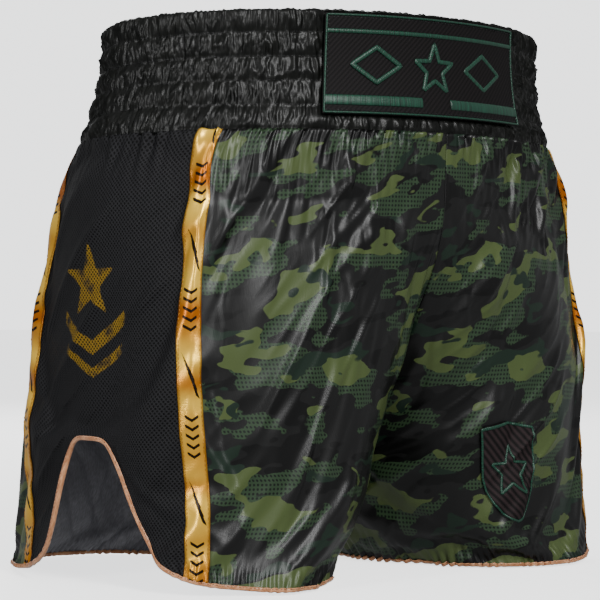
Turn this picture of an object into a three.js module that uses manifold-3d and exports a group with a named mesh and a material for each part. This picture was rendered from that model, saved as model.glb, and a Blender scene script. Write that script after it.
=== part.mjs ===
// Muay Thai style boxing shorts, laid out as sewn panels, bindings, ribbons and a ruched waistband.
// Millimetres, +Z up. The front of the shorts faces -Y and the wearer's left leg is at +X.
// The origin is on the ground below the middle of the shorts, which stand on their hems.
import * as THREE from 'three';
import { mergeVertices } from 'three/addons/utils/BufferGeometryUtils.js';
import Module from 'manifold-3d';

const wasm = await Module();
wasm.setup();

// ---- Driving dimensions ----
const OUTSEAM = 345;                 // hem to the top edge of the waistband
const WAISTBAND_HEIGHT = 72;
const WAIST_TOP_HALF_WIDTH = 160;
const WAIST_TOP_HALF_DEPTH = 110;
const WAIST_FLARE_WIDTH = 13;        // how much wider the seam with the panels is, on each side
const WAIST_FLARE_DEPTH = 10;
const HIP_HALF_WIDTH = 195.5;
const HIP_FALL = 18;                 // how quickly the panels swell out below the waist seam
const HEM_HALF_DEPTH = 126;
const CROTCH_HEIGHT = 65;
const HEM_INSIDE_HALF_GAP = 35;      // half the gap between the two legs at the hem
const INSEAM_FLARE = 1.5;            // bow of the inseam between hem and crotch
const RISE_SHARE = 0.8;              // share of the rise in which the centre seam deepens

const CLOTH = 2;                     // wall of a sewn panel, with its seam allowances
const GAP = 0.3;                     // clearance kept between neighbouring pieces
const FLEX_GAP = 0.9;                // clearance across the cut that lets a leg swing

const SLIT_HEIGHT = 76;              // arch of the side slit above the sweep of the hem
const SLIT_HALF_WIDTH = 31;
const SLIT_SQUARENESS = 5;
const HEM_SWEEP_HEIGHT = 12;         // slow lift of the hem towards the slit
const HEM_SWEEP_WIDTH = 75;

// Angles around a leg: 0 at the inseam, a quarter turn at the front, half a turn at the outside.
const FRONT_RIBBON_AT_WAIST = THREE.MathUtils.degToRad(145);
const FRONT_RIBBON_AT_HEM = THREE.MathUtils.degToRad(128.5);
const REAR_RIBBON_AT_WAIST = THREE.MathUtils.degToRad(216);
const REAR_RIBBON_AT_HEM = THREE.MathUtils.degToRad(200.5);

const RIBBON_WIDTH = 15;
const RIBBON_THICKNESS = 1;
const RIBBON_STANDOFF = 0.7;         // clearance under a ribbon, which bridges a bulky seam
const BINDING_WALL = 0.8;
const BINDING_COVER = 3.2;           // how far the hem binding reaches up the cloth

const CASING_CAVITY = 2.4;           // room for the elastic between the casing's two walls
const ELASTIC_ROWS = 5;
const STITCH_CHANNEL = 2;            // sewn line between two rows of elastic

const PATCH_WIDTH = 158;
const PATCH_HEIGHT = 60;
const PATCH_TOP_MARGIN = 3;
const PATCH_SHIFT = -7;              // towards the wearer's right
const PATCH_THICKNESS = 1.2;
const THREAD_RELIEF = 0.8;           // height of raised embroidery
const BORDER_WIDTH = 3;
const UPPER_BAR = { width: 142, height: 2.5, above: 49.5 };
const LOWER_BAR = { width: 58, height: 6, above: 7 };
const LOWER_BAR_SPACING = 42;        // from the middle of the patch to the middle of a lower bar
const MOTIF_HEIGHT = 31;             // middle of the star above the foot of the patch
const PATCH_STAR_RADIUS = 14;
const DIAMOND = { halfWidth: 15, halfHeight: 9 };
const DIAMOND_SPACING = 43;

const APPLIQUE_ANGLE = THREE.MathUtils.degToRad(74);
const APPLIQUE_HEIGHT = 67;
const APPLIQUE_RADIUS = 32;
const APPLIQUE_STAR_RADIUS = 18;

const LABEL = { width: 44, height: 24, above: 22 };
const LABEL_THICKNESS = 0.6;

const HIP_AXIS_ABOVE_CROTCH = 160;
// The cut that frees a leg is a surface turned about the hip axis: [distance from the middle, radius].
const FLEX_CUT = [[0, 200], [25, 186], [60, 156], [120, 138], [210, 116]];

// ---- Finishes ----
const finish = (color, roughness) => new THREE.MeshStandardMaterial({ color, roughness, metalness: 0 });
const WAIST_SATIN = finish('#2b2a29', 0.45);
const CAMO_SATIN = finish('#4a5a40', 0.4);
const BLACK_MESH = finish('#161616', 0.7);
const GOLD_RIBBON = finish('#d99a33', 0.35);
const COPPER_BINDING = finish('#c07a52', 0.4);
const PATCH_TWILL = finish('#1d1817', 0.75);
const GREEN_THREAD = finish('#3f7d5e', 0.55);
const ELASTIC = finish('#26262a', 0.85);
const LABEL_SATIN = finish('#e6e4dd', 0.6);

// ---- Derived sizes ----
const SEAM_HEIGHT = OUTSEAM - WAISTBAND_HEIGHT;
const WAIST_SEAM_HALF_WIDTH = WAIST_TOP_HALF_WIDTH + WAIST_FLARE_WIDTH;
const WAIST_SEAM_HALF_DEPTH = WAIST_TOP_HALF_DEPTH + WAIST_FLARE_DEPTH;
const PANEL_TOP = SEAM_HEIGHT - GAP;
const HIP_AXIS_HEIGHT = CROTCH_HEIGHT + HIP_AXIS_ABOVE_CROTCH;
const HEM_EDGE = GAP + BINDING_WALL;         // lowest edge of the cloth inside its binding
const CASING_DEPTH = 2 * CLOTH + CASING_CAVITY;
const SLIT_ANGLE = (FRONT_RIBBON_AT_HEM + REAR_RIBBON_AT_HEM) / 2;
const FULL_TURN = 2 * Math.PI;
const mix = THREE.MathUtils.lerp;

// ---- Solids ----

// Makes a geometry from points and triangles, turned so that its faces point outwards.
function closedGeometry(points, triangles) {
  const geometry = new THREE.BufferGeometry();
  geometry.setAttribute('position', new THREE.Float32BufferAttribute(points.flat(), 3));
  let volume = 0;
  for (const [a, b, c] of triangles) {
    const [p, q, r] = [a, b, c].map((index) => new THREE.Vector3(...points[index]));
    volume += p.dot(q.cross(r));
  }
  geometry.setIndex((volume < 0 ? triangles.map(([a, b, c]) => [a, c, b]) : triangles).flat());
  return geometry;
}

// A sheet of cloth between two depths: place(u, v, depth) gives a point of it.
function sheet(columns, rows, place, innerDepth, outerDepth) {
  const points = [];
  for (const depth of [outerDepth, innerDepth]) {
    for (let row = 0; row <= rows; row++) {
      for (let column = 0; column <= columns; column++) {
        points.push(place(column / columns, row / rows, depth));
      }
    }
  }
  const layer = (columns + 1) * (rows + 1);
  const index = (column, row, face) => face * layer + row * (columns + 1) + column;
  const triangles = [];
  const quad = (a, b, c, d) => triangles.push([a, b, c], [a, c, d]);
  for (let row = 0; row < rows; row++) {
    for (let column = 0; column < columns; column++) {
      const corners = [[0, 0], [1, 0], [1, 1], [0, 1]].map(([i, j]) => [column + i, row + j]);
      quad(...corners.map(([i, j]) => index(i, j, 0)));
      quad(...corners.reverse().map(([i, j]) => index(i, j, 1)));
    }
    quad(index(0, row, 0), index(0, row + 1, 0), index(0, row + 1, 1), index(0, row, 1));
    quad(index(columns, row + 1, 0), index(columns, row, 0), index(columns, row, 1), index(columns, row + 1, 1));
  }
  for (let column = 0; column < columns; column++) {
    quad(index(column + 1, 0, 0), index(column, 0, 0), index(column, 0, 1), index(column + 1, 0, 1));
    quad(index(column, rows, 0), index(column + 1, rows, 0), index(column + 1, rows, 1), index(column, rows, 1));
  }
  return closedGeometry(points, triangles);
}

// A closed band: a section of several corners carried once around a loop of stations.
function band(stations, section, place) {
  const points = [];
  const triangles = [];
  const corners = section.length;
  for (let station = 0; station < stations; station++) {
    section.forEach((corner) => points.push(place(station, corner)));
    const next = ((station + 1) % stations) * corners;
    for (let corner = 0; corner < corners; corner++) {
      const other = (corner + 1) % corners;
      const here = station * corners;
      triangles.push([here + corner, next + corner, next + other], [here + corner, next + other, here + other]);
    }
  }
  return closedGeometry(points, triangles);
}

// Adds points along an outline so that no side is longer than a step.
function subdivided(outline, step) {
  return outline.flatMap(([x, y], k) => {
    const [nextX, nextY] = outline[(k + 1) % outline.length];
    const parts = Math.ceil(Math.hypot(nextX - x, nextY - y) / step);
    return Array.from({ length: parts }, (_, part) => {
      return [mix(x, nextX, part / parts), mix(y, nextY, part / parts)];
    });
  });
}

// A thin badge with the given outline, every point of which is in sight of its middle.
function badge(corners, place, innerDepth, outerDepth) {
  const outline = subdivided(corners, 9);
  const rings = 3;
  const count = outline.length;
  const points = [];
  const triangles = [];
  for (const depth of [outerDepth, innerDepth]) {
    points.push(place(0, 0, depth));
    for (let ring = 1; ring <= rings; ring++) {
      outline.forEach(([x, y]) => points.push(place(x * ring / rings, y * ring / rings, depth)));
    }
  }
  const layer = 1 + rings * count;
  const index = (ring, k, face) => face * layer + 1 + (ring - 1) * count + (k % count);
  for (let k = 0; k < count; k++) {
    triangles.push([0, index(1, k, 0), index(1, k + 1, 0)]);
    triangles.push([layer, index(1, k + 1, 1), index(1, k, 1)]);
    for (let ring = 1; ring < rings; ring++) {
      triangles.push([index(ring, k, 0), index(ring + 1, k, 0), index(ring + 1, k + 1, 0)]);
      triangles.push([index(ring, k, 0), index(ring + 1, k + 1, 0), index(ring, k + 1, 0)]);
      triangles.push([index(ring, k, 1), index(ring + 1, k + 1, 1), index(ring + 1, k, 1)]);
      triangles.push([index(ring, k, 1), index(ring, k + 1, 1), index(ring + 1, k + 1, 1)]);
    }
    triangles.push([index(rings, k, 0), index(rings, k, 1), index(rings, k + 1, 1)]);
    triangles.push([index(rings, k, 0), index(rings, k + 1, 1), index(rings, k + 1, 0)]);
  }
  return closedGeometry(points, triangles);
}

// A five-pointed star's outline.
function starOutline(radius) {
  const waist = 0.42 * radius;
  return Array.from({ length: 10 }, (_, k) => {
    const reach = k % 2 ? waist : radius;
    const angle = Math.PI / 2 + k * Math.PI / 5;
    return [reach * Math.cos(angle), reach * Math.sin(angle)];
  });
}

// A shield: square shoulders above a rounded point.
function shieldOutline(radius) {
  const shoulder = 0.78 * radius;
  const lower = Array.from({ length: 9 }, (_, k) => {
    const angle = Math.PI + k * Math.PI / 8;
    return [shoulder * Math.cos(angle), 0.2 * radius + 1.2 * radius * Math.sin(angle)];
  });
  return [[shoulder, 0.85 * radius], [0, radius], [-shoulder, 0.85 * radius], ...lower];
}

function mirrored(geometry, side) {
  const positions = geometry.getAttribute('position');
  const points = [];
  for (let k = 0; k < positions.count; k++) {
    points.push([side * positions.getX(k), positions.getY(k), positions.getZ(k)]);
  }
  const corners = Array.from(geometry.index.array);
  const triangles = [];
  for (let k = 0; k < corners.length; k += 3) triangles.push(corners.slice(k, k + 3));
  return closedGeometry(points, triangles);
}

// The geometry with its shared corners merged, keeping only their positions.
function toIndexed(geometry) {
  const bare = geometry.clone();
  bare.deleteAttribute('normal');
  bare.deleteAttribute('uv');
  return mergeVertices(bare);
}

function toManifold(geometry) {
  const merged = toIndexed(geometry);
  const vertProperties = merged.attributes.position.array;
  const triVerts = new Uint32Array(merged.index.array);
  return new wasm.Manifold(new wasm.Mesh({ numProp: 3, vertProperties, triVerts }));
}

function fromManifold(solid) {
  const mesh = solid.getMesh();
  const geometry = new THREE.BufferGeometry();
  geometry.setAttribute('position', new THREE.BufferAttribute(mesh.vertProperties, 3));
  geometry.setIndex(new THREE.BufferAttribute(mesh.triVerts, 1));
  return geometry;
}

// ---- The waist: an oval that tapers upwards ----

// Point of an oval, pushed out by depth. Angle 0 is the middle of the front.
function ovalPoint(angle, halfWidth, halfDepth, depth) {
  const normal = new THREE.Vector2(Math.sin(angle) / halfWidth, -Math.cos(angle) / halfDepth).normalize();
  return [
    halfWidth * Math.sin(angle) + depth * normal.x,
    -halfDepth * Math.cos(angle) + depth * normal.y,
  ];
}

// Point of the waistband's outer face, pushed out by depth.
function waistPoint(angle, height, depth) {
  const share = (height - SEAM_HEIGHT) / WAISTBAND_HEIGHT;
  const low = ovalPoint(angle, WAIST_SEAM_HALF_WIDTH, WAIST_SEAM_HALF_DEPTH, depth);
  const high = ovalPoint(angle, WAIST_TOP_HALF_WIDTH, WAIST_TOP_HALF_DEPTH, depth);
  return [mix(low[0], high[0], share), mix(low[1], high[1], share), height];
}

function waistRing(section) {
  const stations = 48;
  const place = (station, [depth, height]) => waistPoint(station / stations * FULL_TURN, height, depth);
  return band(stations, section, place);
}

// Casing: two walls of gathered cloth joined along the top edge, open below.
function waistbandCasing() {
  const ceiling = OUTSEAM - CLOTH;
  return waistRing([
    [0, SEAM_HEIGHT], [0, OUTSEAM], [-CASING_DEPTH, OUTSEAM], [-CASING_DEPTH, SEAM_HEIGHT],
    [-CASING_DEPTH + CLOTH, SEAM_HEIGHT], [-CASING_DEPTH + CLOTH, ceiling],
    [-CLOTH, ceiling], [-CLOTH, SEAM_HEIGHT],
  ]);
}

// One row of elastic, counted from the top of the casing.
function elasticRow(row) {
  const pitch = (WAISTBAND_HEIGHT - CLOTH) / ELASTIC_ROWS;
  const top = OUTSEAM - CLOTH - row * pitch - GAP;
  const bottom = top - pitch + STITCH_CHANNEL;
  const outer = -CLOTH - GAP;
  const inner = -CLOTH - CASING_CAVITY + GAP;
  return waistRing([[outer, bottom], [outer, top], [inner, top], [inner, bottom]]);
}

// ---- The front patch, laid on the waistband ----

const PATCH_FOOT = OUTSEAM - PATCH_TOP_MARGIN - PATCH_HEIGHT;
const PATCH_BACK = GAP;
const PATCH_FACE = PATCH_BACK + PATCH_THICKNESS;
const EMBROIDERY = [PATCH_FACE + GAP, PATCH_FACE + GAP + THREAD_RELIEF];

// Point of the patch: across from its middle, up from its foot, and out from the waistband.
function patchPoint(across, up, depth) {
  return waistPoint((across + PATCH_SHIFT) / WAIST_TOP_HALF_WIDTH, PATCH_FOOT + up, depth);
}

function patchRectangle(width, height, centre, foot, depths) {
  const place = (u, v, depth) => patchPoint(centre + (u - 0.5) * width, foot + v * height, depth);
  const columns = Math.ceil(width / 12);
  const rows = Math.ceil(height / 20);
  return sheet(columns, rows, place, depths[0], depths[1]);
}

function patchBorder() {
  const columns = 14;
  const rows = 3;
  const half = PATCH_WIDTH / 2;
  const rim = [];
  for (let k = 0; k < columns; k++) rim.push([mix(-half, half, k / columns), 0]);
  for (let k = 0; k < rows; k++) rim.push([half, mix(0, PATCH_HEIGHT, k / rows)]);
  for (let k = 0; k < columns; k++) rim.push([mix(half, -half, k / columns), PATCH_HEIGHT]);
  for (let k = 0; k < rows; k++) rim.push([-half, mix(PATCH_HEIGHT, 0, k / rows)]);
  const inset = (value, low, high, margin) => THREE.MathUtils.clamp(value, low + margin, high - margin);
  const place = (station, [margin, depth]) => {
    const [across, up] = rim[station];
    return patchPoint(inset(across, -half, half, margin), inset(up, 0, PATCH_HEIGHT, margin), depth);
  };
  const [low, high] = EMBROIDERY;
  return band(rim.length, [[0, low], [0, high], [BORDER_WIDTH, high], [BORDER_WIDTH, low]], place);
}

function patchBadge(outline, centre) {
  const place = (x, y, depth) => patchPoint(centre + x, MOTIF_HEIGHT + y, depth);
  return badge(outline, place, ...EMBROIDERY);
}

function diamondOutline() {
  const { halfWidth, halfHeight } = DIAMOND;
  return [[halfWidth, 0], [0, halfHeight], [-halfWidth, 0], [0, -halfHeight]];
}

function sizeLabel() {
  const halfAngle = LABEL.width / 2 / WAIST_TOP_HALF_DEPTH;
  const place = (u, v, depth) => {
    const angle = Math.PI + mix(-halfAngle, halfAngle, u);
    return waistPoint(angle, SEAM_HEIGHT + LABEL.above + v * LABEL.height, -CASING_DEPTH - depth);
  };
  return sheet(6, 2, place, GAP + LABEL_THICKNESS, GAP);
}

// ---- The body of the shorts: each half is an oval tube, joined above the crotch ----

// Section of the left half at a height: the oval's centre, its half width and half depth, and
// the angle at which it meets the middle plane.
function sectionAt(height) {
  const swell = 1 - Math.exp(-(PANEL_TOP - height) / HIP_FALL);
  const outside = mix(WAIST_SEAM_HALF_WIDTH, HIP_HALF_WIDTH, swell) - GAP / 2;
  const halfDepth = mix(HEM_HALF_DEPTH, WAIST_SEAM_HALF_DEPTH, height / PANEL_TOP);
  const rise = (height - CROTCH_HEIGHT) / (PANEL_TOP - CROTCH_HEIGHT);
  if (rise <= 0) {
    const inside = HEM_INSIDE_HALF_GAP * (1 - height / CROTCH_HEIGHT) ** INSEAM_FLARE;
    return { centre: (outside + inside) / 2, halfWidth: (outside - inside) / 2, halfDepth, seamAngle: 0 };
  }
  const seamAngle = Math.PI / 2 * Math.min(1, rise / RISE_SHARE);
  const halfWidth = outside / (1 + Math.cos(seamAngle));
  return { centre: outside - halfWidth, halfWidth, halfDepth, seamAngle };
}

function legNormal(angle, height) {
  const { halfWidth, halfDepth } = sectionAt(height);
  return new THREE.Vector3(-Math.cos(angle) / halfWidth, -Math.sin(angle) / halfDepth, 0).normalize();
}

// Point of the left half's outer face, pushed out by depth.
function legPoint(angle, height, depth) {
  const { centre, halfWidth, halfDepth } = sectionAt(height);
  const normal = legNormal(angle, height);
  return [
    GAP / 2 + centre - halfWidth * Math.cos(angle) + depth * normal.x,
    -halfDepth * Math.sin(angle) + depth * normal.y,
    height,
  ];
}

const ribbonAngle = (atWaist, atHem, height) => mix(atHem, atWaist, height / PANEL_TOP);
const frontRibbonAngle = (height) => ribbonAngle(FRONT_RIBBON_AT_WAIST, FRONT_RIBBON_AT_HEM, height);
const rearRibbonAngle = (height) => ribbonAngle(REAR_RIBBON_AT_WAIST, REAR_RIBBON_AT_HEM, height);

// Distance along the hem from the middle of the slit to an angle.
function hemDistance(angle) {
  const steps = 48;
  let distance = 0;
  let last = legPoint(SLIT_ANGLE, 0, 0);
  for (let step = 1; step <= steps; step++) {
    const next = legPoint(mix(SLIT_ANGLE, angle, step / steps), 0, 0);
    distance += Math.hypot(next[0] - last[0], next[1] - last[1]);
    last = next;
  }
  return distance;
}

// Height of the cloth's lower edge: flat round the leg, arched at the slit.
function hemHeight(angle) {
  const distance = hemDistance(angle);
  const arch = SLIT_HEIGHT / (1 + (distance / SLIT_HALF_WIDTH) ** SLIT_SQUARENESS);
  return HEM_EDGE + arch + HEM_SWEEP_HEIGHT * Math.exp(-((distance / HEM_SWEEP_WIDTH) ** 2));
}

// The three panels of one leg, each between two seams. A seam is an angle at every height.
const PANELS = {
  front: { columns: 12, from: (height) => sectionAt(height).seamAngle, to: frontRibbonAngle },
  side: { columns: 18, from: frontRibbonAngle, to: rearRibbonAngle },
  back: { columns: 12, from: rearRibbonAngle, to: (height) => FULL_TURN - sectionAt(height).seamAngle },
};
const SEAM_ALLOWANCE = GAP / 2 / HEM_HALF_DEPTH;
const ROW_PITCH = 23;                // mean height of a row of a panel's grid
const PANEL_ROWS = Math.round(SEAM_HEIGHT / ROW_PITCH);
const ROW_CROWDING = 1.25;           // rows lie closer together near the waist

// Angle and height at share u across a panel and share v down it.
function panelPlace(panel, u, v) {
  const edgeHeight = hemHeight(mix(panel.from(0), panel.to(0), u));
  const height = mix(PANEL_TOP, edgeHeight, v ** ROW_CROWDING);
  const from = panel.from(height) + SEAM_ALLOWANCE;
  const to = panel.to(height) - SEAM_ALLOWANCE;
  return [mix(from, to, u), height];
}

function panelSolid(panel) {
  const place = (u, v, depth) => legPoint(...panelPlace(panel, u, v), depth);
  return sheet(panel.columns, PANEL_ROWS, place, -CLOTH, 0);
}

const RIBBON_END_LIFT = BINDING_COVER + 3 * GAP;   // a ribbon ends just above the hem binding

function ribbonSolid(angleAt) {
  const halfAngle = RIBBON_WIDTH / 2 / HEM_HALF_DEPTH;
  const place = (u, v, depth) => {
    const offset = mix(-halfAngle, halfAngle, u);
    const row = mix(PANEL_TOP, hemHeight(angleAt(0)), v ** ROW_CROWDING);
    const height = Math.max(row, hemHeight(angleAt(0) + offset) + RIBBON_END_LIFT);
    return legPoint(angleAt(height) + offset, height, depth);
  };
  return sheet(2, PANEL_ROWS, place, RIBBON_STANDOFF, RIBBON_STANDOFF + RIBBON_THICKNESS);
}

// Binding folded round the cloth's lower edge, once round the leg and over the slit's arch.
function hemBinding() {
  const edge = [];
  const normals = [];
  const rowAbove = [];
  for (const panel of Object.values(PANELS)) {
    for (let column = 0; column < panel.columns; column++) {
      const share = column / panel.columns;
      const place = panelPlace(panel, share, 1);
      const placeAbove = panelPlace(panel, share, 1 - 1 / PANEL_ROWS);
      edge.push(new THREE.Vector3(...legPoint(...place, 0)));
      normals.push(legNormal(...place));
      rowAbove.push(new THREE.Vector3(...legPoint(...placeAbove, 0)));
    }
  }
  const count = edge.length;
  const place = (station, [depth, reach]) => {
    const ahead = edge[(station + 1) % count];
    const behind = edge[(station + count - 1) % count];
    const along = ahead.clone().sub(behind).normalize();
    const out = normals[station];
    const up = rowAbove[station].clone().sub(edge[station]);
    const intoCloth = up.addScaledVector(along, -up.dot(along)).normalize();
    return edge[station].clone().addScaledVector(out, depth).addScaledVector(intoCloth, reach).toArray();
  };
  const outside = GAP + BINDING_WALL;
  const inside = -CLOTH - GAP - BINDING_WALL;
  return band(count, [
    [inside, -outside], [outside, -outside], [outside, BINDING_COVER], [GAP, BINDING_COVER],
    [GAP, -GAP], [-CLOTH - GAP, -GAP], [-CLOTH - GAP, BINDING_COVER], [inside, BINDING_COVER],
  ], place);
}

function appliqueBadge(outline, lowDepth, highDepth) {
  const place = (x, y, depth) => {
    return legPoint(APPLIQUE_ANGLE + x / HEM_HALF_DEPTH, APPLIQUE_HEIGHT + y, depth);
  };
  return badge(outline, place, lowDepth, highDepth);
}

// ---- Cutting the legs free so that each swings about the hip axis ----

// Everything below the hip axis and outside a drum turned about it, the drum grown by a margin.
function legZone(margin) {
  const near = FLEX_CUT.map(([offset, radius]) => new THREE.Vector2(radius + margin, offset));
  const far = near.slice(1).reverse().map((point) => new THREE.Vector2(point.x, -point.y));
  const end = FLEX_CUT[FLEX_CUT.length - 1][0];
  const profile = [new THREE.Vector2(0, -end), ...far, ...near, new THREE.Vector2(0, end)];
  const drum = new THREE.LatheGeometry(profile, 96);
  drum.rotateZ(-Math.PI / 2);
  drum.translate(0, 0, HIP_AXIS_HEIGHT);
  const below = new THREE.BoxGeometry(4 * HIP_HALF_WIDTH, 4 * HEM_HALF_DEPTH, 2 * HIP_AXIS_HEIGHT);
  return toManifold(below).subtract(toManifold(mirrored(toIndexed(drum), 1)));
}

const swingZone = legZone(FLEX_GAP);
const freedZone = legZone(0);

// The part of a piece that stays with the waist, and the part that swings with the leg.
function splitAtHip(geometry) {
  const whole = toManifold(geometry);
  return {
    upper: fromManifold(whole.subtract(freedZone)),
    lower: fromManifold(whole.intersect(swingZone)),
  };
}

// ---- Assembly ----
const shorts = new THREE.Group();

function add(name, geometry, material) {
  const mesh = new THREE.Mesh(geometry, material);
  mesh.name = name;
  shorts.add(mesh);
}

add('waistband_casing', waistbandCasing(), WAIST_SATIN);
for (let row = 0; row < ELASTIC_ROWS; row++) add(`elastic_row_${row + 1}`, elasticRow(row), ELASTIC);

const PATCH_DEPTHS = [PATCH_BACK, PATCH_FACE];
add('patch_backing', patchRectangle(PATCH_WIDTH, PATCH_HEIGHT, 0, 0, PATCH_DEPTHS), PATCH_TWILL);
add('patch_border', patchBorder(), GREEN_THREAD);
const upperBar = patchRectangle(UPPER_BAR.width, UPPER_BAR.height, 0, UPPER_BAR.above, EMBROIDERY);
add('patch_upper_bar', upperBar, GREEN_THREAD);
add('patch_star', patchBadge(starOutline(PATCH_STAR_RADIUS), 0), GREEN_THREAD);
add('size_label', sizeLabel(), LABEL_SATIN);

const SIDES = [['right', -1], ['left', 1]];
for (const [sideName, side] of SIDES) {
  const barCentre = side * LOWER_BAR_SPACING;
  const lowerBar = patchRectangle(LOWER_BAR.width, LOWER_BAR.height, barCentre, LOWER_BAR.above, EMBROIDERY);
  add(`patch_lower_bar_${sideName}`, lowerBar, GREEN_THREAD);
  add(`patch_diamond_${sideName}`, patchBadge(diamondOutline(), side * DIAMOND_SPACING), GREEN_THREAD);
}

const PIECES = [
  ['front_panel', panelSolid(PANELS.front), CAMO_SATIN],
  ['side_panel', panelSolid(PANELS.side), BLACK_MESH],
  ['back_panel', panelSolid(PANELS.back), CAMO_SATIN],
  ['front_ribbon', ribbonSolid(frontRibbonAngle), GOLD_RIBBON],
  ['rear_ribbon', ribbonSolid(rearRibbonAngle), GOLD_RIBBON],
];
for (const [pieceName, geometry, material] of PIECES) {
  const { upper, lower } = splitAtHip(geometry);
  for (const [sideName, side] of SIDES) {
    add(`${sideName}_${pieceName}_upper`, mirrored(upper, side), material);
    add(`${sideName}_${pieceName}_lower`, mirrored(lower, side), material);
  }
}

const binding = hemBinding();
for (const [sideName, side] of SIDES) {
  add(`${sideName}_hem_binding`, mirrored(binding, side), COPPER_BINDING);
}

const SHIELD_FACE = GAP + PATCH_THICKNESS;
add('left_leg_shield', appliqueBadge(shieldOutline(APPLIQUE_RADIUS), GAP, SHIELD_FACE), PATCH_TWILL);
const legStar = appliqueBadge(starOutline(APPLIQUE_STAR_RADIUS), SHIELD_FACE + GAP, SHIELD_FACE + GAP + THREAD_RELIEF);
add('left_leg_star', legStar, GREEN_THREAD);

export default shorts;
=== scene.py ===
# Muay Thai style boxing shorts: camouflage satin body, black mesh sides, gold ribbons,
# copper bound hems with side slits, and a ruched satin waistband with an embroidered patch.
# Each half of the body is a cloth that drapes between its sewn edges. Long creases, gathers and
# puckers are laid over that drape by rule, and every trim follows the same surface.
import math

import bpy
import numpy as np
from mathutils import Euler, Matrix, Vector


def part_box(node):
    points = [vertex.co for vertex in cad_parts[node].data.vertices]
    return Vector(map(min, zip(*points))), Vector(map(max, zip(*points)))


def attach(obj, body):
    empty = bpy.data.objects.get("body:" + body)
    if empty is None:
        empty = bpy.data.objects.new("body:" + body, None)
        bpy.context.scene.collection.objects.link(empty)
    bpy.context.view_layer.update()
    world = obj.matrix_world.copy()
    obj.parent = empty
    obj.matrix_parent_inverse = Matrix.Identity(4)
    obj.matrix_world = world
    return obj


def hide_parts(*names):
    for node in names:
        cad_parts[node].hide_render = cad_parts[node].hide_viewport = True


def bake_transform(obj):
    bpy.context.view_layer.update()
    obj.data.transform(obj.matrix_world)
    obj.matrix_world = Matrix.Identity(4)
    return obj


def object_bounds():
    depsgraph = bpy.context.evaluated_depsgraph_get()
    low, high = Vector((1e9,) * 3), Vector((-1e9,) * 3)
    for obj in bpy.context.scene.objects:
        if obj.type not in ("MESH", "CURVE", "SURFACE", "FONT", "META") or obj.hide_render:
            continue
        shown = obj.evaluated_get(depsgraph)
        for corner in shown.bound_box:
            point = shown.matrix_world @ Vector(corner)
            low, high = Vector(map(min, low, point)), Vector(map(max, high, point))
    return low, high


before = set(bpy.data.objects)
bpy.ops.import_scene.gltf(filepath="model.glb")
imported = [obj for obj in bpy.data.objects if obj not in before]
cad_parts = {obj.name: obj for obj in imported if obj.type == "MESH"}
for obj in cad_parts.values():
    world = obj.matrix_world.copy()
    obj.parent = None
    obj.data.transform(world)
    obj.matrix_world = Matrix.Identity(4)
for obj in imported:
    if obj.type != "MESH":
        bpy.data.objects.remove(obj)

CAD_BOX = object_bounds()
MM = 0.001
FULL_TURN = 2 * math.pi
LEFT, RIGHT = 1, -1                    # the wearer's left leg lies at +X
SIDES = {"left": LEFT, "right": RIGHT}


# ---- Camera: three quarters from the wearer's right front, level with the hips ----

def add_camera():
    azimuth = math.radians(-40)
    distance = 1.518
    lens_height = 0.174
    aim_height = 0.173
    aim_shift = -0.010
    roll = math.radians(0.2)
    back = Vector((math.sin(azimuth), -math.cos(azimuth), 0))
    right = Vector((math.cos(azimuth), math.sin(azimuth), 0))
    data = bpy.data.cameras.new("camera")
    data.sensor_width = 36
    data.lens = 138
    camera = bpy.data.objects.new("camera", data)
    camera.location = back * distance + right * aim_shift + Vector((0, 0, lens_height))
    aim = right * aim_shift + Vector((0, 0, aim_height))
    camera.rotation_mode = "QUATERNION"
    turned = (aim - camera.location).to_track_quat("-Z", "Y")
    camera.rotation_quaternion = turned @ Euler((0, 0, roll)).to_quaternion()
    bpy.context.scene.collection.objects.link(camera)
    bpy.context.scene.camera = camera


add_camera()


# ---- Sizes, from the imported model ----

CASING_LOW, CASING_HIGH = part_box("waistband_casing")
SEAM_Z, TOP_Z = CASING_LOW.z, CASING_HIGH.z
SEAM_HALF_WIDTH, SEAM_HALF_DEPTH = CASING_HIGH.x, CASING_HIGH.y
TOP_HALF_WIDTH, TOP_HALF_DEPTH = SEAM_HALF_WIDTH - 13 * MM, SEAM_HALF_DEPTH - 10 * MM
PATCH_LOW, PATCH_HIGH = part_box("patch_backing")
SHIELD_LOW, SHIELD_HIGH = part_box("left_leg_shield")
HIP_HALF_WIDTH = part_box("left_side_panel_lower")[1].x
HEM_HALF_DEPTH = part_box("left_front_panel_lower")[0].y * -1
HEM_INSIDE = 35 * MM                  # half the gap between the legs at the hem
CROTCH_Z = 65 * MM
HIP_FALL = 18 * MM
RISE_SHARE = 0.8
INSEAM_FLARE = 1.5
HEM_EDGE_Z = 1.1 * MM                 # edge of the cloth inside its binding
CASING_DEPTH = 6.4 * MM
ELASTIC_ROWS = 5

SLIT_HEIGHT, SLIT_HALF_WIDTH, SLIT_SQUARENESS = 76 * MM, 31 * MM, 5
SWEEP_HEIGHT, SWEEP_WIDTH = 12 * MM, 75 * MM

FRONT_RIBBON = (math.radians(128.5), math.radians(145))    # angle at the hem and at the waist
REAR_RIBBON = (math.radians(200.5), math.radians(216))
SLIT_ANGLE = (FRONT_RIBBON[0] + REAR_RIBBON[0]) / 2
RIBBON_WIDTH = 15 * MM
CLOTH = 0.8 * MM

SWAY = 10 * MM                        # the waist sits this far forward, and the hems as far back
TILT = math.radians(2.6)               # and its front is a little higher than its back


def stand(x, y, z):
    """The stance of the shorts: upright points moved a little, more towards the waist."""
    rise = z / TOP_Z
    return np.stack(np.broadcast_arrays(x, y - SWAY * (2 * rise - 1), z - TILT * y * rise ** 2), -1)


# ---- Noise: sums of waves, fixed by a seed ----

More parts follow.
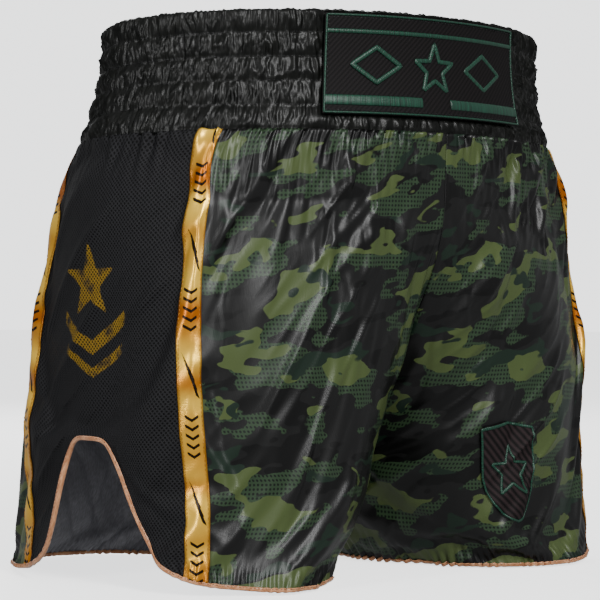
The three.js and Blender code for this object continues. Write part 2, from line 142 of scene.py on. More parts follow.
def waves(along, up, seed, lengths, slants=(0, 0), count=9):
    """Smooth noise from -1 to 1 or so: waves of the given lengths, leaning by the given slants.
    Each wave goes a whole number of times round a leg, so the noise closes on itself."""
    draw = np.random.RandomState(seed)
    total = np.zeros(np.broadcast(along, up).shape)
    for _ in range(count):
        length = draw.uniform(*lengths)
        turns = max(1, round(FULL_TURN * LEG_RADIUS / length))
        slant = draw.uniform(*slants)
        phase = draw.uniform(0, FULL_TURN)
        size = draw.uniform(0.6, 1.2)
        total += size * np.cos(turns * along / LEG_RADIUS + FULL_TURN * slant * up / length + phase)
    return total / math.sqrt(count)


LEG_RADIUS = 105 * MM                 # a leg's mean radius: turns an angle into a distance


def smooth(value, low, high):
    share = np.clip((value - low) / (high - low), 0, 1)
    return share * share * (3 - 2 * share)


# ---- The waist: an oval, nearly upright above and flaring to the seam ----

def waist_place(angle, height, depth):
    share = np.clip((TOP_Z - height) / (TOP_Z - SEAM_Z), -0.1, 1.1)
    flare = np.abs(share) ** 2.4
    half_width = TOP_HALF_WIDTH + (SEAM_HALF_WIDTH - TOP_HALF_WIDTH) * flare
    half_depth = TOP_HALF_DEPTH + (SEAM_HALF_DEPTH - TOP_HALF_DEPTH) * flare
    x, y = half_width * np.sin(angle), -half_depth * np.cos(angle)
    nx, ny = np.sin(angle) / half_width, -np.cos(angle) / half_depth
    size = np.hypot(nx, ny)
    return stand(x + depth * nx / size, y + depth * ny / size, height)


# ---- The body: each half is an oval tube, joined to the other above the crotch ----

def section(height):
    swell = 1 - np.exp(-np.maximum(SEAM_Z - height, 0) / HIP_FALL)
    outside = SEAM_HALF_WIDTH + (HIP_HALF_WIDTH - SEAM_HALF_WIDTH) * swell
    half_depth = HEM_HALF_DEPTH + (SEAM_HALF_DEPTH - HEM_HALF_DEPTH) * height / SEAM_Z
    rise = (height - CROTCH_Z) / (SEAM_Z - CROTCH_Z)
    seam_angle = math.pi / 2 * np.clip(rise / RISE_SHARE, 0, 1)
    inside = HEM_INSIDE * np.clip(1 - height / CROTCH_Z, 0, None) ** INSEAM_FLARE
    half_width = np.where(rise > 0, outside / (1 + np.cos(seam_angle)), (outside - inside) / 2)
    return outside - half_width, half_width, half_depth, seam_angle


def seam_angle_at(height):
    return section(height)[3]


def ribbon_angle(ribbon, height):
    return ribbon[0] + (ribbon[1] - ribbon[0]) * height / SEAM_Z


def edges_at(height):
    """Angles of the middle seam, the front ribbon and the rear ribbon at a height."""
    return seam_angle_at(height), ribbon_angle(FRONT_RIBBON, height), ribbon_angle(REAR_RIBBON, height)


def turned(base, height):
    """Angle round the leg of a cloth point, from its base angle: the angle that it has at the hem.
    Seams and ribbons keep one base angle all the way up."""
    seam, front, rear = edges_at(height)
    front_base, rear_base = FRONT_RIBBON[0], REAR_RIBBON[0]
    over_front = seam + (front - seam) * base / front_base
    over_side = front + (rear - front) * (base - front_base) / (rear_base - front_base)
    over_back = rear + (FULL_TURN - seam - rear) * (base - rear_base) / (FULL_TURN - rear_base)
    return np.where(base < front_base, over_front, np.where(base < rear_base, over_side, over_back))


def base_for(angle, height):
    """The base angle of the cloth point that lies at this angle: the inverse of turned."""
    seam, front, rear = edges_at(height)
    front_base, rear_base = FRONT_RIBBON[0], REAR_RIBBON[0]
    over_front = front_base * (angle - seam) / (front - seam)
    over_side = front_base + (rear_base - front_base) * (angle - front) / (rear - front)
    over_back = rear_base + (FULL_TURN - rear_base) * (angle - rear) / (FULL_TURN - seam - rear)
    return np.where(angle < front, over_front, np.where(angle < rear, over_side, over_back))


def smooth_form(side, base, height, depth=0.0):
    """Points of a leg's outer face before any folds, pushed out by depth."""
    angle = turned(base, height)
    centre, half_width, half_depth, _ = section(height)
    nx, ny = -np.cos(angle) / half_width, -np.sin(angle) / half_depth
    size = np.hypot(nx, ny)
    x = centre - half_width * np.cos(angle) + depth * nx / size
    y = -half_depth * np.sin(angle) + depth * ny / size
    return stand(side * np.maximum(x, 0), y, height)


def body_place(side, base, height, depth):
    """Points of a leg's cloth: the draped form with its fine gathers, pushed out by depth."""
    place, normal = DRAPES[side]
    base, height = np.broadcast_arrays(base, height)
    across = base / FULL_TURN
    down = (SEAM_Z - height) / (SEAM_Z - hem_height(base))
    spot = smooth_form(side, base, height) + soft_sample(place, across, down)
    out = soft_sample(normal, across, down)
    out /= np.linalg.norm(out, axis=-1, keepdims=True)
    lift = depth + fine_gathers(side, base, height) + long_folds(side, base, height)
    made = spot + out * lift[..., None]
    sewn = smooth_form(side, base, height)[..., 0]
    free = smooth(from_seam(base, height), 0, 5 * MM)
    made[..., 0] = side * np.maximum(side * (sewn + (made[..., 0] - sewn) * free), 0)
    return made


def from_seam(base, height):
    """Distance round the leg to the nearer of the middle seam's two sides."""
    seam, angle = seam_angle_at(height), turned(base, height)
    return np.minimum(np.abs(angle - seam), np.abs(FULL_TURN - seam - angle)) * LEG_RADIUS


def soft_sample(grid, across, down):
    """A smooth value between the points of a grid: a cubic spline over its nearest 4 by 4 points."""
    rows, columns = grid.shape[:2]
    x, y = np.clip(across, 0, 1) * (columns - 1), np.clip(down, 0, 1) * (rows - 1)
    left, top = np.floor(x).astype(int), np.floor(y).astype(int)
    total = np.zeros(x.shape + (3,))
    for j, wy in enumerate(spline_weights(y - top)):
        row = np.clip(top + j - 1, 0, rows - 1)
        for k, wx in enumerate(spline_weights(x - left)):
            column = np.clip(left + k - 1, 0, columns - 1)
            total += (wx * wy)[..., None] * grid[row, column]
    return total


def spline_weights(t):
    return ((1 - t) ** 3 / 6, (3 * t ** 3 - 6 * t ** 2 + 4) / 6,
            (-3 * t ** 3 + 3 * t ** 2 + 3 * t + 1) / 6, t ** 3 / 6)


def hem_table():
    """Distance along the hem from the middle of the slit, for a row of angles."""
    angles = np.linspace(0, FULL_TURN, 721)
    _, half_width, half_depth, _ = section(np.zeros_like(angles))
    steps = np.hypot(np.diff(half_width * np.cos(angles)), np.diff(half_depth * np.sin(angles)))
    along = np.concatenate([[0], np.cumsum(steps)])
    return angles, along - np.interp(SLIT_ANGLE, angles, along)


HEM_ANGLES, HEM_ALONG = hem_table()


def hem_height(angle):
    distance = np.abs(np.interp(angle, HEM_ANGLES, HEM_ALONG))
    arch = SLIT_HEIGHT / (1 + (distance / SLIT_HALF_WIDTH) ** SLIT_SQUARENESS)
    return HEM_EDGE_Z + arch + SWEEP_HEIGHT * np.exp(-((distance / SWEEP_WIDTH) ** 2))


def start_folds(side, base, height):
    """Shallow folds that the cloth starts its drape from, in metres out from the smooth form."""
    seed = LEG_SEED[side]
    below = np.maximum(SEAM_Z - height, 0)
    along = base * LEG_RADIUS
    spread = 1 + 5.5 * below
    fan = along / spread + FRONT_MIDDLE * LEG_RADIUS * (1 - 1 / spread)
    total = np.zeros(np.broadcast(base, height).shape)
    for step, (length, size, reach) in enumerate(GATHERS):
        strength = 0.75 + 0.5 * waves(along, below, seed + 50 + step, (40 * MM, 120 * MM))
        ridge = waves(fan, below, seed + step, (length * 0.8, length * 1.3), (-0.25, 0.25))
        total += size * strength * ridge * np.exp(-below / reach)
    lean = FOLD_LEAN[side]
    total += 2.4 * MM * waves(along, height, seed + 90, (60 * MM, 130 * MM), (0.6 * lean, 1.2 * lean))
    total += 1.2 * MM * waves(along, height, seed + 95, (26 * MM, 50 * MM), (0.5 * lean, 1.1 * lean))
    return total * smooth(from_seam(base, height), 0, 25 * MM) * smooth(below, 0, 12 * MM)


def long_folds(side, base, height):
    """Long soft creases that slant across each leg, laid by rule over the drape."""
    seed = LEG_SEED[side]
    along = base * LEG_RADIUS
    lean = FOLD_LEAN[side]
    total = np.zeros(np.broadcast(base, height).shape)
    for step, (length, size) in enumerate(CREASES):
        lengths, slants = (length * 0.75, length * 1.3), (0.7 * lean, 1.3 * lean)
        field = waves(along, height, seed + 120 + step, lengths, slants)
        where = waves(along, height, seed + 130 + step, (90 * MM, 170 * MM), (-0.6, 0.6))
        total += size * np.exp(-((field / 0.33) ** 2)) * smooth(where, -0.5, 0.9)
    below, above_hem = SEAM_Z - height, height - hem_height(base)
    free = smooth(below, 10 * MM, 45 * MM) * smooth(above_hem, 0, 25 * MM)
    return total * free * smooth(from_seam(base, height), 0, 25 * MM) * (1 - 0.75 * at_ribbon(base))


def at_ribbon(base):
    """1 on a ribbon, which stiffens the cloth under it, falling to 0 beside it."""
    apart = np.minimum(np.abs(base - FRONT_RIBBON[0]), np.abs(base - REAR_RIBBON[0])) * LEG_RADIUS
    return 1 - smooth(apart, 0.4 * RIBBON_WIDTH, 1.6 * RIBBON_WIDTH)


# Creases: typical spacing and height.
CREASES = [(95 * MM, 2.4 * MM), (60 * MM, 1.5 * MM), (38 * MM, 0.8 * MM)]


def fine_gathers(side, base, height):
    """Puckers too fine for the drape: under the waistband and along the hem binding."""
    seed = LEG_SEED[side]
    along = base * LEG_RADIUS
    below = np.maximum(SEAM_Z - height, 0)
    above_hem = np.maximum(height - hem_height(base), 0)
    ridge = waves(along, below, seed + 70, (7 * MM, 11 * MM), (-0.3, 0.3))
    finer = waves(along, below, seed + 71, (4.5 * MM, 7 * MM), (-0.2, 0.2))
    top = (1.1 * ridge + 0.6 * finer) * MM * np.exp(-below / (15 * MM))
    from_slit = np.abs(np.interp(base, HEM_ANGLES, HEM_ALONG))
    pucker = waves(along, height, seed + 99, (4.5 * MM, 7.5 * MM), (-0.25, 0.25), 7)
    hem = 1.1 * MM * pucker * smooth(from_slit, 40 * MM, 75 * MM) * np.exp(-((above_hem / (12 * MM)) ** 2))
    away = from_seam(base, height)
    crease = -0.8 * MM * np.exp(-((away / (1.6 * MM)) ** 2))
    return (top + hem) * smooth(away, 0, 8 * MM) + crease


FRONT_MIDDLE = math.radians(95)
# Folds that run down from the waistband: spacing, height and how far down they reach.
GATHERS = [(14 * MM, 0.9 * MM, 30 * MM), (24 * MM, 1.6 * MM, 55 * MM), (42 * MM, 1.8 * MM, 95 * MM)]
FOLD_LEAN = {LEFT: -1, RIGHT: 1}      # which way the long folds slant on each leg
LEG_SEED = {LEFT: 11, RIGHT: 37}
BINDING_SEED = {LEFT: 5, RIGHT: 6}


# ---- Drape: each half of the body falls as cloth between its seams ----

DRAPE_COLUMNS, DRAPE_ROWS = 250, 62
DRAPE_FRAMES = 26
EXTRA_ROUND, EXTRA_AT_WAIST = 0.025, 0.48
EXTRA_LENGTH = 0.012
TWIST = 0.30                          # radians that the cut hem is turned before it is sewn
FOLD_LIMIT = 8 * MM


def drape_grid():
    base = np.linspace(0, FULL_TURN, DRAPE_COLUMNS + 1)[None, :]
    down = np.linspace(0, 1, DRAPE_ROWS + 1)[:, None]
    height = SEAM_Z + (hem_height(base) - SEAM_Z) * down
    return np.broadcast_to(base, height.shape), height


def cut_shape(side, base, height):
    """The cloth's own size: wider than the waist that gathers it, and turned a little at the hem."""
    below = SEAM_Z - height
    point = smooth_form(side, base, height)
    centre = section(height)[0] * side
    turn = FOLD_LEAN[side] * TWIST * below / SEAM_Z
    wide = 1 + EXTRA_ROUND + EXTRA_AT_WAIST * np.exp(-below / (45 * MM))
    x, y = (point[..., 0] - centre) * wide, point[..., 1] * wide
    z = SEAM_Z - (SEAM_Z - point[..., 2]) * (1 + EXTRA_LENGTH)
    across = centre + x * np.cos(turn) - y * np.sin(turn)
    return np.stack([across, x * np.sin(turn) + y * np.cos(turn), z], -1)


def grid_normals(grid):
    across = np.gradient(grid, axis=1)
    down = np.gradient(grid, axis=0)
    normal = np.cross(down, across)
    return normal / np.maximum(np.linalg.norm(normal, axis=-1, keepdims=True), 1e-12)


def drape(side):
    """Displacement and outward direction of the draped cloth over its grid."""
    base, height = drape_grid()
    smooth_points = smooth_form(side, base, height)
    outward = smooth_form(side, base, height, 1 * MM) - smooth_points
    outward /= np.linalg.norm(outward, axis=-1, keepdims=True)
    start = smooth_points + outward * start_folds(side, base, height)[..., None]
    settled = fall(side, start, cut_shape(side, base, height))
    move = settled - smooth_points
    reach = np.linalg.norm(move, axis=-1, keepdims=True)
    move *= np.minimum(1, FOLD_LIMIT / np.maximum(reach, 1e-9))
    normal = grid_normals(smooth_points + move)
    if (normal * outward).sum() < 0:
        normal = -normal
    return move, normal


def fall(side, start, cut):
    """Runs the cloth from its start to rest, held at the waist, the seams, the ribbons and the hem."""
    rows, columns = start.shape[:2]
    index = np.arange(rows * columns).reshape(rows, columns)
    quads = np.stack([index[:-1, :-1], index[1:, :-1], index[1:, 1:], index[:-1, 1:]], -1).reshape(-1, 4)
    if side == RIGHT:
        quads = quads[:, ::-1]
    mesh = bpy.data.meshes.new("drape")
    mesh.from_pydata(start.reshape(-1, 3).tolist(), [], quads.tolist())
    cloth = bpy.data.objects.new("drape", mesh)
    scene = bpy.context.scene
    scene.collection.objects.link(cloth)
    cloth.shape_key_add(name="sewn")
    pattern = cloth.shape_key_add(name="cut")
    pattern.data.foreach_set("co", np.ascontiguousarray(cut, np.float32).ravel())
    held = cloth.vertex_groups.new(name="held")
    edges = np.concatenate([index[0], index[-1], index[:, 0], index[:, -1]])
    held.add(np.unique(edges).tolist(), 1.0, "REPLACE")
    for ribbon in (FRONT_RIBBON, REAR_RIBBON):
        column = round(ribbon[0] / FULL_TURN * (columns - 1))
        held.add(index[1:-1, column].tolist(), 0.5, "REPLACE")
    modifier = cloth.modifiers.new("drape", "CLOTH")
    settings = modifier.settings
    settings.vertex_group_mass = "held"
    settings.rest_shape_key = pattern
    settings.quality = 6
    settings.mass = 0.15
    settings.tension_stiffness = settings.compression_stiffness = 12
    settings.shear_stiffness = 6
    settings.bending_stiffness = 0.06
    settings.tension_damping = settings.compression_damping = 8
    settings.air_damping = 3
    settings.use_pressure = True
    settings.uniform_pressure_force = 0.25
    settings.effector_weights.gravity = 0.4
    modifier.point_cache.frame_end = DRAPE_FRAMES
    for step in range(1, DRAPE_FRAMES + 1):
        scene.frame_set(step)
    solved = cloth.evaluated_get(bpy.context.evaluated_depsgraph_get()).data
    points = np.empty(rows * columns * 3, np.float32)
    solved.vertices.foreach_get("co", points)
    bpy.data.objects.remove(cloth)
    scene.frame_set(1)
    return points.reshape(rows, columns, 3).astype(float)


DRAPES = {side: drape(side) for side in (LEFT, RIGHT)}


# ---- Meshes ----

def finish_mesh(name, points, quads, uv, materials, inner_from=None, attributes=()):
    mesh = bpy.data.meshes.new(name)
    mesh.vertices.add(len(points))
    mesh.vertices.foreach_set("co", np.ascontiguousarray(points, np.float32).ravel())
    mesh.loops.add(len(quads) * 4)
    mesh.loops.foreach_set("vertex_index", np.ascontiguousarray(quads, np.int32).ravel())
    mesh.polygons.add(len(quads))
    mesh.polygons.foreach_set("loop_start", np.arange(0, len(quads) * 4, 4, dtype=np.int32))
    mesh.polygons.foreach_set("use_smooth", np.ones(len(quads), bool))
    if inner_from is not None:
        index = np.zeros(len(quads), np.int32)
        index[inner_from] = 1
        mesh.polygons.foreach_set("material_index", index)
    layer = mesh.uv_layers.new(name="UVMap")
    layer.data.foreach_set("uv", np.ascontiguousarray(uv[quads.ravel()], np.float32).ravel())
    for label, values in attributes:
        made = mesh.attributes.new(label, "FLOAT", "POINT")
        made.data.foreach_set("value", np.ascontiguousarray(values, np.float32).ravel())
    mesh.update()
    mesh.validate()
    for material in materials:
        mesh.materials.append(material)
    piece = bpy.data.objects.new(name, mesh)
    bpy.context.scene.collection.objects.link(piece)
    return piece


def sheet_mesh(name, outer, inner, uv, materials, flip=False, attributes=()):
    """A closed sheet from two grids of points, one for each face."""
    rows, columns = outer.shape[:2]
    points = np.concatenate([outer.reshape(-1, 3), inner.reshape(-1, 3)])
    front = np.arange(rows * columns).reshape(rows, columns)
    back = front + rows * columns

    def strip(a, b):
        """Quads between two lines of points, from line a down to line b."""
        return np.stack([a[:-1], a[1:], b[1:], b[:-1]], -1).reshape(-1, 4)

    face = np.stack([front[:-1, :-1], front[1:, :-1], front[1:, 1:], front[:-1, 1:]], -1).reshape(-1, 4)
    lining = (face + rows * columns)[:, ::-1]
    rim = np.concatenate([
        strip(front[0], back[0]), strip(front[-1, ::-1], back[-1, ::-1]),
        strip(front[::-1, 0], back[::-1, 0]), strip(front[:, -1], back[:, -1]),
    ])
    quads = np.concatenate([face, rim, lining])
    if flip:
        quads = quads[:, ::-1]
    inner_from = slice(len(face) + len(rim), None) if len(materials) > 1 else None
    flat = uv.reshape(-1, 2)
    doubled = [(label, np.concatenate([values.ravel(), values.ravel()])) for label, values in attributes]
    both = np.concatenate([flat, flat])
    return finish_mesh(name, points, quads, both, materials, inner_from, doubled)


def ring_mesh(name, grid, uv, materials, flip=False, closed_rows=True, attributes=()):
    """A tube or ring: the grid closes on itself along its rows' order and, if asked, its columns'."""
    rows, columns = grid.shape[:2]
    index = np.arange(rows * columns).reshape(rows, columns)
    down = np.roll(index, -1, 0)
    if not closed_rows:
        index, down = index[:-1], down[:-1]
    quads = np.stack([index, down, np.roll(down, -1, 1), np.roll(index, -1, 1)], -1).reshape(-1, 4)
    if not closed_rows:
        caps = [np.arange(columns)[::-1], np.arange(columns) + (rows - 1) * columns]
        half = columns // 2
        for cap in caps:
            left, right = cap[:half], cap[half:][::-1]
            closing = np.stack([left[:-1], left[1:], right[1:], right[:-1]], -1)
            quads = np.concatenate([quads, closing[:, ::-1]])
    if flip:
        quads = quads[:, ::-1]
    return finish_mesh(name, grid.reshape(-1, 3), quads, uv.reshape(-1, 2), materials, None, attributes)


def row_lengths(grid):
    """Distance along each row of a grid, measured from its middle."""
    steps = np.linalg.norm(np.diff(grid, axis=1), axis=2)
    along = np.concatenate([np.zeros((len(grid), 1)), np.cumsum(steps, 1)], 1)
    return along - along[:, [grid.shape[1] // 2]]


# ---- Materials ----

def linear(code):
    """An sRGB hex colour as the linear colour that a shader takes."""
    parts = [int(code[k:k + 2], 16) / 255 for k in (1, 3, 5)]
    return [p / 12.92 if p <= 0.04045 else ((p + 0.055) / 1.055) ** 2.4 for p in parts] + [1]


def add(tree, kind, inputs=(), **settings):
    """Adds a node with its settings, values and links, and gives back its outputs."""
    made = tree.nodes.new(kind)
    for name, value in settings.items():
        setattr(made, name, value)
    for key, value in dict(inputs).items():
        if isinstance(value, bpy.types.NodeSocket):
            tree.links.new(value, made.inputs[key])
        else:
            made.inputs[key].default_value = value
    return made.outputs


def surface(name, **values):
    """A new material, its node tree and its shader, with the given values on the shader's sockets."""
    material = bpy.data.materials.new(name)
    material.use_nodes = True
    tree = material.node_tree
    shader = tree.nodes["Principled BSDF"]
    for key, value in values.items():
        shader.inputs[key.replace("_", " ")].default_value = value
    return material, tree, shader


def woven_bump(tree, shader, across, along, strength, distance, extra=None):
    """Thread relief: fine noise stretched along the yarn, with an optional larger height added."""
    place = add(tree, "ShaderNodeUVMap")["UV"]
    scaled = add(tree, "ShaderNodeMapping", {"Vector": place, "Scale": (across, along, 1)})["Vector"]
    yarn = add(tree, "ShaderNodeTexNoise", {"Vector": scaled, "Scale": 1, "Detail": 2})["Fac"]
    height = yarn
    if extra is not None:
        height = add(tree, "ShaderNodeMath", {0: yarn, 1: extra}, operation="ADD")[0]
    relief = {"Height": height, "Strength": strength, "Distance": distance}
    tree.links.new(add(tree, "ShaderNodeBump", relief)["Normal"], shader.inputs["Normal"])
    return yarn


def camo_satin():
    """Polyester satin, sublimation printed: charcoal ground with green blotches, a soft long sheen
    from the floating warp, and a raster of dots in the darker green."""
    material, tree, shader = surface(
        "polyester_satin_camouflage_print", Roughness=0.38, IOR=1.5, Specular_IOR_Level=0.34,
    )
    place = add(tree, "ShaderNodeUVMap")["UV"]
    # Blotches about 38 mm wide and 19 mm tall, leaning up to the right.
    turn = {"Vector": place, "Rotation": (0, 0, math.radians(14)), "Scale": (0.038, 0.019, 1)}
    lean = add(tree, "ShaderNodeMapping", turn, vector_type="TEXTURE")["Vector"]
    warp = add(tree, "ShaderNodeTexNoise", {"Vector": lean, "Scale": 1.5, "Detail": 1.5})["Color"]
    centred = add(tree, "ShaderNodeVectorMath", {0: warp, 1: (0.5, 0.5, 0.5)}, operation="SUBTRACT")[0]
    pushed = add(tree, "ShaderNodeVectorMath", {0: centred, "Scale": 1.7}, operation="SCALE")[0]
    shape = add(tree, "ShaderNodeVectorMath", {0: lean, 1: pushed}, operation="ADD")[0]

    def blotch(shift, scale, low, high):
        moved = add(tree, "ShaderNodeVectorMath", {0: shape, 1: shift}, operation="ADD")[0]
        spots = {"Vector": moved, "Scale": scale, "Detail": 0.6, "Roughness": 0.4}
        field = add(tree, "ShaderNodeTexNoise", spots)["Fac"]
        return add(tree, "ShaderNodeMapRange", {"Value": field, "From Min": low, "From Max": high})[0]

    # Dots every 2.4 mm, in rows 2.6 mm apart.
    grid = {"Vector": place, "Scale": (1 / 0.0024, 1 / 0.0026, 1)}
    cells = add(tree, "ShaderNodeMapping", grid)["Vector"]
    spots = {"Vector": cells, "Scale": 1, "Randomness": 0}
    reach = add(tree, "ShaderNodeTexVoronoi", spots)["Distance"]
    dots = add(tree, "ShaderNodeMapRange", {"Value": reach, "From Min": 0.22, "From Max": 0.36})[0]
    raster = {0: dots, 6: linear("#0a110b"), 7: linear("#2b3d29")}
    halftone = add(tree, "ShaderNodeMix", raster, data_type="RGBA")[2]
    layers = [
        (blotch((7.3, 2.1, 0), 0.8, 0.53, 0.545), linear("#040404")),
        (blotch((0, 0, 0), 0.9, 0.525, 0.537), halftone),
        (blotch((0.05, -0.42, 0), 0.9, 0.59, 0.60), linear("#46532d")),
        (blotch((21.0, 9.0, 0), 1.15, 0.665, 0.68), linear("#14241a")),
    ]
    colour = linear("#121212")
    for cover, dye in layers:
        colour = add(tree, "ShaderNodeMix", {0: cover, 6: colour, 7: dye}, data_type="RGBA")[2]
    tree.links.new(colour, shader.inputs["Base Color"])
    # Warp threads lie 0.2 mm apart, too fine to show: drawn 0.7 mm apart.
    woven_bump(tree, shader, 1400, 160, 0.18, 0.0003)
    return material


def plain_cloth(name, dark, light, across, along, strength, distance, grain=30, **values):
    """Dyed cloth: two close shades in a slow mottle, with thread relief."""
    material, tree, shader = surface(name, **values)
    place = add(tree, "ShaderNodeUVMap")["UV"]
    mottle = {"Vector": place, "Scale": grain, "Detail": 3}
    slow = add(tree, "ShaderNodeTexNoise", mottle)["Fac"]
    yarn = woven_bump(tree, shader, across, along, strength, distance)
    both = add(tree, "ShaderNodeMath", {0: slow, 1: yarn}, operation="MULTIPLY")[0]
    share = add(tree, "ShaderNodeMapRange", {"Value": both, "From Min": 0.12, "From Max": 0.4})[0]
    shades = {0: share, 6: linear(dark), 7: linear(light)}
    colour = add(tree, "ShaderNodeMix", shades, data_type="RGBA")[2]
    tree.links.new(colour, shader.inputs["Base Color"])
    return material


def black_mesh():
    """Warp-knitted polyester mesh: black yarn round rows of small holes, with a print of gold dots."""
    material, tree, shader = surface("warp_knit_polyester_mesh", Roughness=0.6, Specular_IOR_Level=0.14)
    place = add(tree, "ShaderNodeUVMap")["UV"]
    # Holes 2 mm apart on the diagonal.
    grid = {"Vector": place, "Rotation": (0, 0, math.radians(45)), "Scale": (1 / 0.002, 1 / 0.002, 1)}
    cells = add(tree, "ShaderNodeMapping", grid)["Vector"]
    spots = {"Vector": cells, "Scale": 1, "Randomness": 0}
    reach = add(tree, "ShaderNodeTexVoronoi", spots)["Distance"]
    yarn = add(tree, "ShaderNodeMapRange", {"Value": reach, "From Min": 0.2, "From Max": 0.42})[0]
    cloth = {0: yarn, 6: linear("#000000"), 7: linear("#202022")}
    colour = add(tree, "ShaderNodeMix", cloth, data_type="RGBA")[2]
    gold = {0: yarn, 6: linear("#1c1503"), 7: linear("#80641a")}
    ink = add(tree, "ShaderNodeMix", gold, data_type="RGBA")[2]
    edge = add(tree, "ShaderNodeAttribute", attribute_name="print_edge")["Fac"]
    inside = add(tree, "ShaderNodeMapRange", {"Value": edge, "From Min": 0.4, "From Max": -0.4})[0]
    worn = add(tree, "ShaderNodeTexNoise", {"Vector": place, "Scale": 90, "Detail": 2})["Fac"]
    even = add(tree, "ShaderNodeMapRange", {"Value": worn, "From Min": 0.3, "From Max": 0.48})[0]
    cover = add(tree, "ShaderNodeMath", {0: inside, 1: even}, operation="MULTIPLY")[0]
    printed = add(tree, "ShaderNodeMix", {0: cover, 6: colour, 7: ink}, data_type="RGBA")[2]
    tree.links.new(printed, shader.inputs["Base Color"])
    woven_bump(tree, shader, 1800, 900, 0.5, 0.0005, extra=yarn)
    return material


def gold_ribbon():
    """Printed satin ribbon: pale gold shading to amber along its length, darker at its edges,
    with black printed marks."""
    material, tree, shader = surface(
        "satin_ribbon_gold_print", Roughness=0.3, Specular_IOR_Level=0.2, Metallic=0.5,
    )
    place = add(tree, "ShaderNodeUVMap")["UV"]
    stretched = add(tree, "ShaderNodeMapping", {"Vector": place, "Scale": (14, 34, 1)})["Vector"]
    field = {"Vector": stretched, "Scale": 1, "Detail": 1.5, "Roughness": 0.5}
    shade = add(tree, "ShaderNodeTexNoise", field)["Fac"]
    share = add(tree, "ShaderNodeMapRange", {"Value": shade, "From Min": 0.34, "From Max": 0.62})[0]
    golds = {0: share, 6: linear("#b05f08"), 7: linear("#ffcf4c")}
    colour = add(tree, "ShaderNodeMix", golds, data_type="RGBA")[2]
    rim = add(tree, "ShaderNodeAttribute", attribute_name="ribbon_rim")["Fac"]
    edge = {0: rim, 6: colour, 7: linear("#5f3206")}
    banded = add(tree, "ShaderNodeMix", edge, data_type="RGBA")[2]
    marks = add(tree, "ShaderNodeAttribute", attribute_name="print_edge")["Fac"]
    inside = add(tree, "ShaderNodeMapRange", {"Value": marks, "From Min": 0.15, "From Max": -0.15})[0]
    inked = {0: inside, 6: banded, 7: linear("#1c120a")}
    tree.links.new(add(tree, "ShaderNodeMix", inked, data_type="RGBA")[2], shader.inputs["Base Color"])
    woven_bump(tree, shader, 400, 1600, 0.2, 0.0003)
    return material


def diagonal_twill(name, dark, light, pitch, angle):
    """Twill: a diagonal rib in two close shades."""
    material, tree, shader = surface(name, Roughness=0.7, Specular_IOR_Level=0.18)
    place = add(tree, "ShaderNodeUVMap")["UV"]
    turn = {"Vector": place, "Rotation": (0, 0, angle), "Scale": (1 / pitch, 1 / pitch, 1)}
    along = add(tree, "ShaderNodeMapping", turn)["Vector"]
    rib = {"Vector": along, "Scale": 0.16, "Distortion": 0.4, "Detail": 1}
    band = add(tree, "ShaderNodeTexWave", rib, bands_direction="X")["Fac"]
    shades = {0: band, 6: linear(dark), 7: linear(light)}
    tree.links.new(add(tree, "ShaderNodeMix", shades, data_type="RGBA")[2], shader.inputs["Base Color"])
    woven_bump(tree, shader, 1500, 1500, 0.4, 0.0003, extra=band)
    return material


def embroidery(name, dark, light):
    """Rayon satin stitch: close parallel threads that catch the light across their length."""
    material, tree, shader = surface(name, Roughness=0.42)
    place = add(tree, "ShaderNodeUVMap")["UV"]
    # Threads 0.4 mm apart, drawn 0.8 mm apart so that they show.
    thread = add(tree, "ShaderNodeMapping", {"Vector": place, "Scale": (1 / 0.0008, 60, 1)})["Vector"]
    field = add(tree, "ShaderNodeTexNoise", {"Vector": thread, "Scale": 1, "Detail": 1})["Fac"]
    share = add(tree, "ShaderNodeMapRange", {"Value": field, "From Min": 0.35, "From Max": 0.65})[0]
    shades = {0: share, 6: linear(dark), 7: linear(light)}
    tree.links.new(add(tree, "ShaderNodeMix", shades, data_type="RGBA")[2], shader.inputs["Base Color"])
    relief = {"Height": field, "Strength": 0.6, "Distance": 0.0004}
    tree.links.new(add(tree, "ShaderNodeBump", relief)["Normal"], shader.inputs["Normal"])
    return material


def sewing_thread(name, dark, light):
    """Spun polyester thread: a soft gloss and a slow change of shade along the row."""
    material, tree, shader = surface(name, Roughness=0.45)
    place = add(tree, "ShaderNodeTexCoord")["Object"]
    shade = add(tree, "ShaderNodeTexNoise", {"Vector": place, "Scale": 220, "Detail": 2})["Fac"]
    share = add(tree, "ShaderNodeMapRange", {"Value": shade, "From Min": 0.35, "From Max": 0.65})[0]
    shades = {0: share, 6: linear(dark), 7: linear(light)}
    tree.links.new(add(tree, "ShaderNodeMix", shades, data_type="RGBA")[2], shader.inputs["Base Color"])
    # The plies' twist is 0.3 mm, drawn 0.6 mm so that it shows close up.
    ply = add(tree, "ShaderNodeTexNoise", {"Vector": place, "Scale": 1600, "Detail": 1})["Fac"]
    relief = {"Height": ply, "Strength": 0.4, "Distance": 0.0002}
    tree.links.new(add(tree, "ShaderNodeBump", relief)["Normal"], shader.inputs["Normal"])
    return material


CAMO = camo_satin()
# The unprinted back of the satin: pale grey and nearly matt, as the warp floats lie on the other face.
LINING = plain_cloth(
    "polyester_satin_unprinted_back", "#66666b", "#909096", 1200, 300, 0.25, 0.0003, Roughness=0.6,
)
# Dyed satin: near black in the valleys of the pleats, with a short bright sheen along each ridge.
WAIST_SATIN = plain_cloth(
    "polyester_satin_charcoal", "#060706", "#11120f", 1400, 260, 0.3, 0.0003, grain=60,
    Roughness=0.37, Specular_IOR_Level=0.25,
)
MESH = black_mesh()
GOLD = gold_ribbon()
# Satin cut on the bias and folded: threads cross the tape, so its sheen runs across it.
COPPER = plain_cloth(
    "satin_bias_binding_copper", "#9c6038", "#e0a67a", 300, 1400, 0.3, 0.0003, grain=80,
    Roughness=0.32, Sheen_Weight=0.2,
)
